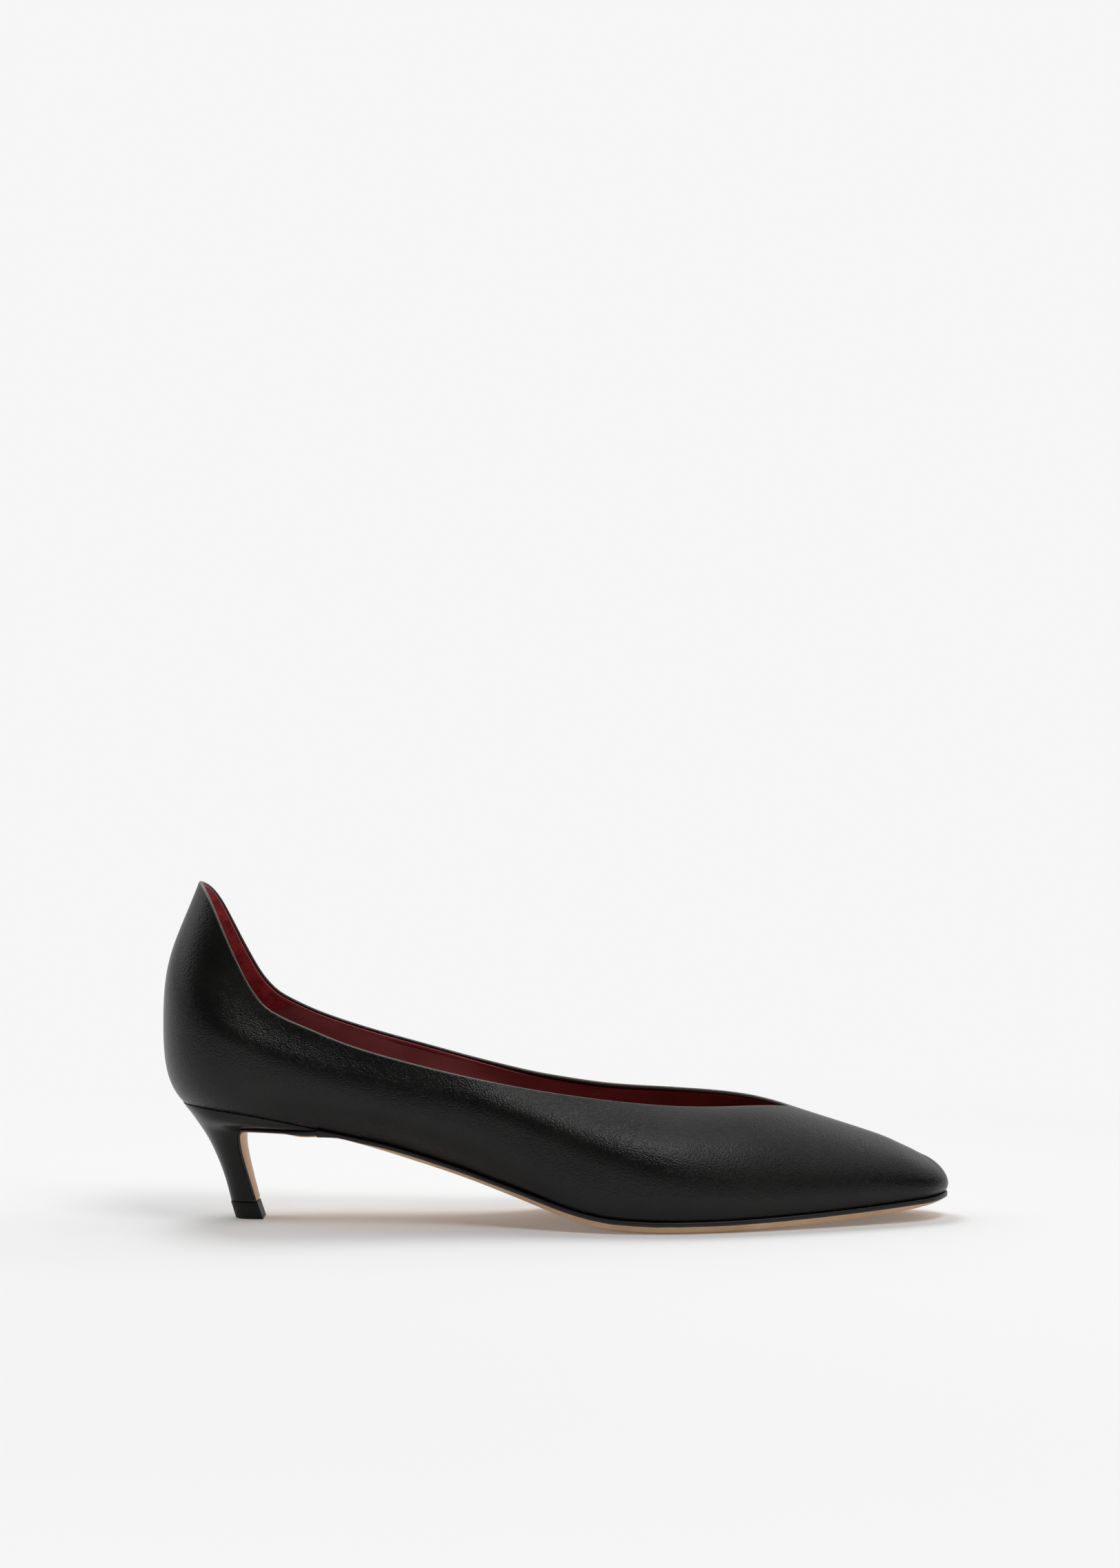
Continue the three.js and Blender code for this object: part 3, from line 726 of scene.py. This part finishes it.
# Shares from heel to toe, close together round both ends, with the vamp's from vampFrom on.
def lineShares(vampFrom):
    throat, vampStart = ((x - peakAt) / (ridgeEnd - peakAt) for x in (throatAt, vampFrom))
    heelShare, toeShare, turn = shoe["heelRound"], 1 - shoe["toeRound"], math.pi / 2
    heelPart = [heelShare * (1 - math.cos(turn * t)) for t in evenShares(upper["heelLines"])]
    collarPart = [mix(heelShare, throat, t) for t in evenShares(upper["collarLines"], True)]
    vampPart = [mix(vampStart, toeShare, t) for t in evenShares(upper["vampLines"] - 1)]
    toePart = [mix(toeShare, 1, math.sin(turn * t)) for t in evenShares(upper["toeLines"], True)]
    return heelPart + collarPart + vampPart + toePart


def outwardAt(places, faces):
    mesh = bpy.data.meshes.new("draft")
    mesh.from_pydata([tuple(p) for p in places], [], faces)
    mesh.update()
    found = np.array([tuple(corner.normal) for corner in mesh.vertices])
    bpy.data.meshes.remove(mesh)
    return found if found[np.argmax(places[:, 0])][0] > 0 else -found


def fillHollow(places, faces):
    tip = topPoint(1, 1)
    near = [n for n, p in enumerate(places) if np.linalg.norm(p - tip) < upper["tipReach"]]
    beside = {n: set() for n in near}
    for face in faces:
        for i, n in enumerate(face):
            if n in beside:
                beside[n] |= {face[i - 1], face[(i + 1) % len(face)]}
    beside = {n: list(others) for n, others in beside.items()}
    outward = outwardAt(places, faces)
    for _ in range(upper["tipPasses"]):
        for n, others in beside.items():
            lift = float(np.dot(places[others].mean(axis=0) - places[n], outward[n]))
            places[n] += outward[n] * max(0, lift)
    return places


def easeThroat(places, numbers, columns):
    fadeLow, fadeHigh = upper["throatFade"]
    for _ in range(upper["throatPasses"]):
        before = places.copy()
        for c, (_, k) in enumerate(columns):
            near = smoothStep(0, 0.6, 1 - abs(k - throatLine) / upper["throatReach"])
            for j in range(1, topRow if near else 1):
                share = 0.5 * near * smoothStep(0, fadeLow, j) * smoothStep(0, fadeHigh, topRow - j)
                pair = [numbers[c - 1][j], numbers[(c + 1) % len(columns)][j]]
                beside = before[pair].mean(axis=0)
                places[numbers[c][j]] = mix(before[numbers[c][j]], beside, share)


# Points of the skin and its outward directions, column by column round the shoe.
def skinGrid(shares):
    last = len(shares) - 1
    columns = [(-1, k) for k in range(last + 1)] + [(1, k) for k in range(last - 1, 0, -1)]
    points = np.array([wallLine(side, shares[k]) for side, k in columns])
    maker = MeshMaker()
    numbers = np.array([[maker.corner(p) for p in column] for column in points])
    for c in range(len(columns)):
        maker.strip(numbers[c], numbers[(c + 1) % len(columns)])
    places = fillHollow(np.array(maker.points), maker.faces)
    easeThroat(places, numbers, columns)
    outward = outwardAt(places, maker.faces)
    return columns, places[numbers], outward[numbers]


toeLineX = mix(peakAt, ridgeEnd, 1 - shoe["toeRound"])
skinShares = lineShares(throatAt + (toeLineX - throatAt) / upper["vampLines"])
insideShares = lineShares(throatAt + upper["foldFront"] + upper["vampGap"])
columns, skin, skinOut = skinGrid(skinShares)
_, inside, insideOut = skinGrid(insideShares)
insideEdge = np.array([edgeOutward(side, insideShares[k]) for side, k in columns])
middleShift = float(skin[:, :, 1].min() + skin[:, :, 1].max()) / 2
count = len(columns)
innerThroat = next(c for c, (side, k) in enumerate(columns) if side == 1 and k == throatLine)
collarColumns = [c for c, (_, k) in enumerate(columns) if k <= throatLine]
print("skin drawn", count, "columns")

# Along the topline: the way out from the skin, and the way up off the edge.
loop = [c for c in collarColumns if c != innerThroat]
toplineFrame = {}
for i, c in enumerate(loop):
    along = unit(skin[loop[(i + 1) % len(loop)]][topRow] - skin[loop[i - 1]][topRow])
    up = skin[c][topRow] - skin[c][topRow - 1]
    if columns[c][1] == throatLine:
        up = np.array([-1.0, 0, 0])
    outward = skinOut[c][topRow]
    outward = unit(outward - along * np.dot(outward, along))
    off = np.cross(outward, along)
    toplineFrame[c] = (outward, off if np.dot(off, up) > 0 else -off)
toplineFrame[innerThroat] = toplineFrame[throatLine]
radius = upper["rimRadius"]
rimCentre = {c: skin[c][topRow] - toplineFrame[c][1] * radius for c in collarColumns}
for c in collarColumns:
    for grid in (skin, inside):
        for j in range(lowRows, topRow + 1):
            bend = radius * ((j - lowRows) / highRows) ** upper["rimBlend"]
            grid[c][j] = grid[c][j] - toplineFrame[c][1] * bend


def foldDepth(c):
    forward = smoothStep(*upper["foldChange"], rimCentre[c][0])
    return mix(upper["foldRear"], upper["foldFront"], forward)


def onRim(c, depth, sink):
    outward, off = toplineFrame[c]
    return rimCentre[c] - outward * sink - off * depth


# Columns of the skin moved in by sink. By the collar they end start past the folded edge.
def layer(sink, start):
    made = []
    for c in range(count):
        line = [inside[c][0] - insideEdge[c] * sink * upper["edgeSlant"]]
        line += [inside[c][j] - insideOut[c][j] * sink for j in range(1, topRow - 2)]
        if c in toplineFrame:
            depth = foldDepth(c) + start
            line += [onRim(c, depth + more, sink) for more in (1.0, 0.5, 0)]
        else:
            line += [inside[c][j] - insideOut[c][j] * sink for j in range(topRow - 2, topRow + 1)]
        made.append(line)
    return made


# A closed wall: up its outside, over the rim along the collar, and down its inside.
def shell(outside, rims, insides, topMark=0.0):
    maker = MeshMaker()
    outerNumbers = [[maker.corner(p) for p in line] for line in outside]
    innerNumbers = []
    for line in insides:
        marks = [topMark] + [0.0] * (len(line) - 1)
        innerNumbers.append([maker.corner(p, mark) for p, mark in zip(line[::-1], marks)])
    rimNumbers = {c: [maker.corner(*pair) for pair in rim] for c, rim in rims.items()}
    for c in range(count):
        n = (c + 1) % count
        maker.strip(outerNumbers[c], outerNumbers[n])
        maker.strip(innerNumbers[c], innerNumbers[n])
        maker.face(innerNumbers[c][-1], innerNumbers[n][-1], outerNumbers[n][0], outerNumbers[c][0])
        if c in rims and n in rims:
            over = [outerNumbers[v][-1:] + rimNumbers[v] + innerNumbers[v][:1] for v in (c, n)]
            maker.strip(*over)
    return maker


rims = {}
turns = [math.pi * i / upper["rimSteps"] for i in range(1, upper["rimSteps"] + 1)]
tuckIn, tuckPast, tuckSink = upper["foldTuck"]
for c in collarColumns:
    outward, off = toplineFrame[c]
    rims[c] = []
    for a in turns:
        point = rimCentre[c] - outward * radius * (1 - math.cos(a)) + off * radius * math.sin(a)
        # Marks for the painted highlight along the fold: strongest where the rim faces up, fainter
        # all along its top.
        facing = outward[2] * math.cos(a) + off[2] * math.sin(a)
        over = upper["crestShare"] * smoothStep(*upper["crestOver"], math.sin(a))
        rims[c].append((point, max(smoothStep(*upper["crestUp"], facing), over)))
    fold, back = foldDepth(c), 2 * radius
    for depth, sink in ((fold * 0.6, back), (fold, back - tuckIn), (fold + tuckPast, tuckSink)):
        rims[c].append((onRim(c, depth, sink), 0))
upperShell = shell(skin, rims, layer(upper["leather"], upper["leatherStart"]))
upperPiece = addPiece("upper_leather", upperShell, blackNappa, "crestHighlight")

# Two faces, each so far in from the skin, starting so far past the leather's fold.
lining = {
    "outside": 1.04,
    "outsideStart": 0.06,
    "inside": 1.62,
    "insideStart": 0.16,
    "cutEdge": ((1.25, 0.02), (1.42, 0), (1.58, 0.05)),
}
liningRims = {}
# The cut edge is marked for its paler colour and its painted sheen.
for c in collarColumns:
    places = [onRim(c, foldDepth(c) + past, sink) for sink, past in lining["cutEdge"]]
    liningRims[c] = [(place, 1) for place in places]
liningOut = layer(lining["outside"], lining["outsideStart"])
liningIn = layer(lining["inside"], lining["insideStart"])
liningShell = shell(liningOut, liningRims, liningIn, 1.0)
liningPiece = addPiece("lining", liningShell, redLining, "cut")

grip = {
    "reach": 42,  # how far forward it comes at the topline
    "foot": 20,  # and by the sock
    "thickness": 0.4,
    "across": 44,
    "topGap": 0.35,
    "bedded": 0.02,  # how deep its back lies in the lining
    "firstRow": 4,
    "curve": 1.2,
}


# Rows from the sock up, each from the front edge on the inner side round to the outer one.
def gripFace(sink):
    lines = layer(sink, grip["topGap"])
    reaches = (k for k in range(throatLine) if topPoint(1, insideShares[k])[0] > grip["reach"])
    reachLine = next(reaches)
    order = [count - k for k in range(reachLine, 0, -1)] + list(range(reachLine + 1))
    sheet = np.array([lines[c] for c in order])
    places = np.arange(-reachLine, reachLine + 1)
    rows = []
    spread = np.sin(np.linspace(-1, 1, grip["across"] * 2 + 1) * math.pi / 2)
    for j in range(grip["firstRow"], topRow + 1):
        down = 1 - (j - grip["firstRow"]) / (topRow - grip["firstRow"])
        at = reachLine * mix(1, grip["foot"] / grip["reach"], down ** grip["curve"]) * spread
        row = [np.interp(at, places, sheet[:, j, axis]) for axis in range(3)]
        rows.append(np.stack(row, axis=1))
    return rows


faceOut = gripFace(lining["inside"] - grip["bedded"])
faceIn = gripFace(lining["inside"] + grip["thickness"])
gripRings = [list(a) + list(b[::-1]) for a, b in zip(faceOut, faceIn)]
gripPiece = addPiece("heel_grip", loftRings(gripRings, start=-1), redSuede, sharp=40)

sock = {"thickness": 2.0, "inset": 0.08, "crown": 0.25, "across": 9}


def sockRings():
    rings = []
    for share in insideShares:
        inset = upper["wall"] * upper["edgeSlant"] + gap - sock["inset"]
        low, high = (edgePoint(s, share) - edgeOutward(s, share) * inset for s in (-1, 1))
        steps = [i / sock["across"] for i in range(sock["across"] + 1)]
        over = []
        for t in steps:
            point = mix(low, high, t)
            point[2] += sock["thickness"] - sock["crown"] * (2 * t - 1) ** 6
            over.append(point)
        rings.append(over[::-1] + [mix(low, high, t) for t in steps])
    return rings


sockPiece = addPiece("sock", loftRings(sockRings(), start=-1), redSock, sharp=50)


# Depth, inset and paint mark of the corners down one side of a sole section.
def soleEdges(thickness, band, bevel):
    r = min(sole["topRound"], 0.3 * band)
    edges = [(0, r, 0), (0.29 * r, 0.29 * r, 0.1), (r, 0, 0.3), (band, 0, 1.0)]
    for t in sole["bevelSteps"]:
        edges.append((mix(band, thickness, t), bevel * t**2.4, 1 + t))
    return edges


def soleRing(low, high, lowIn, highIn, down, thickness, band, bevel):
    edges = soleEdges(thickness, band, bevel)
    lowSide, highSide = (
        [top + down * depth + inwards * inset for depth, inset, _ in edges]
        for top, inwards in ((low, lowIn), (high, highIn))
    )
    marks = [mark for _, _, mark in edges]
    over, under = mix(lowSide[0], highSide[0], 0.5), mix(lowSide[-1], highSide[-1], 0.5)
    return [over] + lowSide + [under] + highSide[::-1], [0] + marks + [2.5] + marks[::-1]


heel = {
    "neckWidth": 10.6,
    "slices": 54,
    "halfSteps": 16,
    "evened": 0.35,
}
tread = {"height": 5.7, "length": 9.7, "width": 9.8, "shift": 1.6, "proud": 0.15, "round": 0.3}

# Slices from the foot of the heel up to the seat: ends as shares of seatLength, heights of the
# ends as shares of the heel's height, and how far the slice has spread to the seat's width.
heelSlices = rowsOf(
    "at back backUp front frontUp spread",
    (0, 0.346, 0, 0.52, 0, 0),
    (1, 0.316, 0.169, 0.484, 0.169, 0.05),
    (2, 0.283, 0.316, 0.456, 0.316, 0.11),
    (3, 0.245, 0.452, 0.431, 0.455, 0.18),
    (4, 0.207, 0.571, 0.415, 0.575, 0.26),
    (5, 0.17, 0.669, 0.413, 0.675, 0.36),
    (6, 0.133, 0.75, 0.43, 0.741, 0.46),
    (7, 0.102, 0.816, 0.478, 0.774, 0.6),
    (8, 0.075, 0.87, 0.602, 0.78, 0.77),
    (9, 0.05, 0.916, 0.738, 0.777, 0.89),
    (10, 0.026, 0.955, 0.873, 0.775, 0.965),
    (11, 0, 1, 1, 0.785, 1),
)
sliceKeys = ("back", "backUp", "front", "frontUp", "spread")
sliceCurves = {key: smoothCurve(heelSlices, key, heel["evened"]) for key in sliceKeys}
footTop = tread["height"] + gap
seatTop = shoe["heelHeight"] - gap


def heelSlice(i):
    at = (len(heelSlices) - 1) * i / heel["slices"]
    return {key: curve(at) for key, curve in sliceCurves.items()}


def sliceHalf(side, spread, share):
    along = shoe["seatLength"] * share
    seatHalf = ballWidth * edgeHalf(side, (seatStart + along) / length)
    seatHalf *= roundEnd(along, heelRound)
    return mix(heel["neckWidth"] / 2 * roundEnd(share, 1), seatHalf, spread)


def sliceEnds(i):
    cut = heelSlice(i)
    ends = []
    for end in ("back", "front"):
        x = seatStart + shoe["seatLength"] * cut[end]
        ends.append(np.array([x, 0, mix(footTop, seatTop, cut[end + "Up"])]))
    return ends


def sliceRing(pointAt):
    steps = heel["halfSteps"]
    along = [1 - math.cos(math.pi / 2 * j / steps) for j in range(steps + 1)]
    outerSide = [pointAt(-1, share) for share in along]
    innerSide = [pointAt(1, share) for share in along[1:]]
    return [mix(outerSide[-1], innerSide[-1], 0.5)] + outerSide[::-1] + innerSide


def heelRing(i):
    back, front = sliceEnds(i)
    spread = heelSlice(i)["spread"]

    def pointAt(side, share):
        point = mix(back, front, share)
        point[1] = side * sliceHalf(side, spread, share)
        if i == heel["slices"]:
            point[2] = edgeHeight(side, point[0]) - gap
        return point

    return sliceRing(pointAt)


heelRings = [heelRing(i) for i in range(heel["slices"] + 1)]
heelPiece = addPiece("heel_cover", loftRings(heelRings), heelNappa, sharp=35)

footBack, footFront = sliceEnds(0)
treadTopLength = footFront[0] + gap + sole["flapThickness"] + tread["proud"] - footBack[0]


def treadRing(z, inset):
    t = z / tread["height"]
    start = footBack[0] + mix(tread["shift"], -tread["proud"], t) + inset
    ringLength = mix(tread["length"], treadTopLength, t) - 2 * inset
    width = mix(tread["width"], heel["neckWidth"] + 2 * tread["proud"], t) - 2 * inset

    def pointAt(side, share):
        return np.array([start + ringLength * share, side * width / 2 * roundEnd(share, 1), z])

    return sliceRing(pointAt)


r, top = tread["round"], tread["height"]
turned = 0.3 * r
treadLevels = [(0, r), (turned, turned), (r, 0), (top - r, 0), (top - turned, turned), (top, r)]
treadRings = [treadRing(z, inset) for z, inset in treadLevels]
treadPiece = addPiece("heel_tread", loftRings(treadRings), treadFinish, sharp=40)


# Sections from the toe back to the heel's lip, then down the heel's breast.
def soleRings():
    rings, marks = [], None
    seatFront = sliceEnds(heel["slices"])[1]
    lipBottom = seatFront[2] - gap - sole["lipThickness"] - sole["lipDrop"]
    paintFrom, paintTo = (lipTip + run for run in sole["lipPaintRun"])
    shares = [share for share in skinShares[:0:-1] if edgePoint(-1, share)[0] > paintFrom]
    for share in shares + [(lipTip + sole["lipStart"] - seatStart) / (edgeEnd - seatStart)]:
        low, high = (edgePoint(s, share) + edgeOutward(s, share) * sole["lip"] for s in (-1, 1))
        beyond = beyondTread(low[0])
        for top in (low, high):
            top[2] += sole["toeCurl"] * smoothStep(sole["curlFrom"], 1, beyond) - gap
        waist = min(1, 2 * waistUp(low[0] / length))
        nearLip = smoothStep(lipTip, lipTip + sole["lipRun"] * length, low[0])
        ball = mix(sole["thickness"], sole["toeThickness"], beyond**5)
        thickness = mix(ball, mix(sole["lipThickness"], sole["waistThickness"], nearLip), waist)
        # By the heel the sole thickens smoothly, down to the lip's own level.
        spare = low[2] - lipBottom + sole["lipSlope"] * (low[0] - lipTip) - thickness
        thickness += (spare + math.sqrt(spare * spare + sole["lipEase"])) / 2
        lowIn, highIn = (-edgeOutward(s, share) for s in (-1, 1))
        edge = min(sole["edge"], sole["edgeShare"] * thickness)
        band = mix(sole["lipPaint"] * thickness, edge, smoothStep(paintFrom, paintTo, low[0]))
        down, bevel = np.array([0, 0, -1.0]), sole["bevel"] * nearLip
        ring, marks = soleRing(low, high, lowIn, highIn, down, thickness, band, bevel)
        rings.append(ring)
    ends = [sliceEnds(i)[1] for i in range(heel["slices"] + 1)]
    for i in range(heel["slices"], -1, -1):
        along = unit(ends[max(0, i - 1)] - ends[min(heel["slices"], i + 1)])
        down = np.array([-along[2], 0, along[0]])
        spread = heelSlice(i)["spread"]
        across = [np.array([0, s * sliceHalf(s, spread, 1), 0]) for s in (-1, 1)]
        low, high = (ends[i] + down * gap + half for half in across)
        thickness = mix(sole["flapThickness"], sole["lipThickness"], spread)
        thickness += sole["lipDrop"] * smoothStep(0.9, 1, spread)
        lowIn, highIn = np.array([0, 1.0, 0]), np.array([0, -1.0, 0])
        band, bevel = sole["edgeShare"] * thickness, sole["flapBevel"] * thickness
        rings.append(soleRing(low, high, lowIn, highIn, down, thickness, band, bevel)[0])
    return rings, marks


solePiece = addPiece("sole_leather", loftRings(*soleRings()), soleFinish, "depth", 50)

# The lining's turned edge, a fine cord that follows the topline just under the fold. Its red is
# painted lighter than the lining's, as a highlight line.
edgeCord = {"radius": 0.22, "sides": 8, "sink": 1.6, "drop": 0.12}


def cordAlong(name, path, settings, material):
    tree = bpy.data.node_groups.new(name, "GeometryNodeTree")
    sockets = {}
    for label, kind in (
        ("Geometry", "NodeSocketGeometry"),
        ("Radius", "NodeSocketFloat"),
        ("Sides", "NodeSocketInt"),
        ("Material", "NodeSocketMaterial"),
    ):
        sockets[label] = tree.interface.new_socket(label, in_out="INPUT", socket_type=kind)
    tree.interface.new_socket("Geometry", in_out="OUTPUT", socket_type="NodeSocketGeometry")
    kinds = {
        "start": "NodeGroupInput",
        "curve": "GeometryNodeMeshToCurve",
        "ring": "GeometryNodeCurvePrimitiveCircle",
        "sweep": "GeometryNodeCurveToMesh",
        "smooth": "GeometryNodeSetShadeSmooth",
        "real": "GeometryNodeRealizeInstances",
        "dress": "GeometryNodeSetMaterial",
        "end": "NodeGroupOutput",
    }
    nodes = {key: tree.nodes.new(kind) for key, kind in kinds.items()}
    for a, out, b, into in (
        ("start", "Geometry", "curve", "Mesh"),
        ("start", "Radius", "ring", "Radius"),
        ("start", "Sides", "ring", "Resolution"),
        ("curve", "Curve", "sweep", "Curve"),
        ("ring", "Curve", "sweep", "Profile Curve"),
        ("sweep", "Mesh", "smooth", "Geometry"),
        ("smooth", "Geometry", "real", "Geometry"),
        ("real", "Geometry", "dress", "Geometry"),
        ("start", "Material", "dress", "Material"),
        ("dress", "Geometry", "end", "Geometry"),
    ):
        tree.links.new(nodes[a].outputs[out], nodes[b].inputs[into])
    mesh = bpy.data.meshes.new(name + "_path")
    edges = [(i, (i + 1) % len(path)) for i in range(len(path))]
    mesh.from_pydata(inMetres(path), edges, [])
    piece = bpy.data.objects.new(name, mesh)
    scene.collection.objects.link(piece)
    modifier = piece.modifiers.new("sweep", "NODES")
    modifier.node_group = tree
    modifier[sockets["Radius"].identifier] = settings["radius"] / 1000
    modifier[sockets["Sides"].identifier] = settings["sides"]
    modifier[sockets["Material"].identifier] = material
    evaluated = piece.evaluated_get(bpy.context.evaluated_depsgraph_get())
    swept = bpy.data.meshes.new_from_object(evaluated)
    piece.modifiers.remove(modifier)
    piece.data = swept
    swept.name = name
    print("made", name, len(swept.polygons), "faces")
    return piece


cordPath = [onRim(c, foldDepth(c) + edgeCord["drop"], edgeCord["sink"]) for c in loop]
cordPiece = cordAlong("lining_edge", cordPath, edgeCord, redEdgeHighlight)

for piece, slot, node in (
    (upperPiece, "upper_leather", "upper"),
    (liningPiece, "lining_leather", None),
    (cordPiece, "lining_leather", None),
    (gripPiece, "lining_leather", None),
    (sockPiece, "lining_leather", "insole"),
    (solePiece, "sole_leather", "outsole"),
    (heelPiece, "heel_cover", "heel"),
    (treadPiece, "top_piece_rubber", "top_piece"),
):
    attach(piece, "root")
    if node:
        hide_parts(node)
print("pieces ride on the body")

studio = {
    "white": 0.9216,
    "dim": 0.013,
    "backdrop": 0.75,
    "backdropWay": (0, 0.85, 0.53),  # the backdrop is brightest this way
    "backdropEdge": (0.08, 0.88),
    "paper": 0.9,
    "paperHalf": 12,
    "floorGlow": 0.12,  # share of the floor that glows by the shoe
    "glowRing": (0.16, 0.5),  # and where it grows to the whole
    "cameraX": 0.0011,
    "cameraAway": 1.0,
    "cameraUp": 0.1462,
    "lens": 68.07,
    "lightAway": 1.3,
    "lightAim": 0.05,
}


def aimed(name, place, target, data):
    item = bpy.data.objects.new(name, data)
    scene.collection.objects.link(item)
    item.location = place
    x, y, z = (float(b) - float(a) for a, b in zip(place, target))
    item.rotation_euler = (math.atan2(math.hypot(x, y), -z), 0, math.atan2(-x, y))
    return item


cameraData = bpy.data.cameras.new("camera")
cameraData.lens, cameraData.sensor_width, cameraData.clip_end = studio["lens"], 36, 100
place = (studio["cameraX"], -studio["cameraAway"], studio["cameraUp"])
scene.camera = aimed("camera", place, (studio["cameraX"], 0, studio["cameraUp"]), cameraData)

# Softboxes round the shoe: degrees round from the toe, degrees up, size and power.
softboxes = rowsOf(
    "name round up size watts",
    ("back", 120, 62, 0.5, 6),
    ("front", 300, 62, 0.5, 4.8),
    ("toe_high", 0, 62, 0.5, 0.8),
    ("toe_side", 0, 35, 0.5, 0.9),
    ("toe_back", 45, 35, 0.5, 0.7),
    ("toe_front", 315, 35, 0.5, 1.0),
    ("heel_side", 170, 30, 0.8, 2.4),
)
for row in softboxes:
    around, up = math.radians(row["round"]), math.radians(row["up"])
    level = studio["lightAway"] * math.cos(up)
    height = studio["lightAim"] + studio["lightAway"] * math.sin(up)
    place = (level * math.cos(around), level * math.sin(around), height)
    light = bpy.data.lights.new(row["name"], "AREA")
    light.shape, light.size, light.energy = "SQUARE", row["size"], row["watts"]
    box = aimed(row["name"], place, (0, 0, studio["lightAim"]), light)
    box.visible_camera = False

paper = Finish(bpy.data.materials.new("white_floor"))
where = paper.node("ShaderNodeTexCoord", out="Object")
away = paper.node("ShaderNodeVectorMath", {"operation": "LENGTH"}, {0: where}, "Value")
far = paper.between(away, *studio["glowRing"])
far = studio["floorGlow"] + far * (1 - studio["floorGlow"])
lit = paper.node("ShaderNodeBsdfDiffuse", {}, {"Color": (*[studio["paper"]] * 3, 1)})
glowing = paper.node("ShaderNodeEmission", {}, {"Strength": studio["white"]})
floorFinish = paper.node("ShaderNodeMixShader", {}, {0: far, 1: lit, 2: glowing})
paper.node("ShaderNodeOutputMaterial", {}, {"Surface": floorFinish})
floorMesh = bpy.data.meshes.new("floor")
half = studio["paperHalf"]
floorCorners = [(-half, -half, 0), (half, -half, 0), (half, half, 0), (-half, half, 0)]
floorMesh.from_pydata(floorCorners, [], [(0, 1, 2, 3)])
floorMesh.materials.append(paper.owner)
floorPiece = bpy.data.objects.new("floor", floorMesh)
scene.collection.objects.link(floorPiece)

world = bpy.data.worlds.new("studio")
scene.world = world
sky = Finish(world)
seen = sky.node("ShaderNodeLightPath", out="Is Camera Ray")
way = sky.node("ShaderNodeTexCoord", out="Generated")
toBackdrop = {0: way, 1: studio["backdropWay"]}
behind = sky.node("ShaderNodeVectorMath", {"operation": "DOT_PRODUCT"}, toBackdrop, "Value")
lift = sky.between(behind, *studio["backdropEdge"]) * (studio["backdrop"] - studio["dim"])
white = {"Color": (1, 1, 1, 1), "Strength": studio["white"]}
bright = sky.node("ShaderNodeBackground", {}, white)
screens = sky.node("ShaderNodeBackground", {}, {**white, "Strength": lift + studio["dim"]})
skyFinish = sky.node("ShaderNodeMixShader", {}, {0: seen, 1: screens, 2: bright})
sky.node("ShaderNodeOutputWorld", {}, {"Surface": skyFinish})
scene.view_settings.view_transform = "Standard"
print("studio lit")
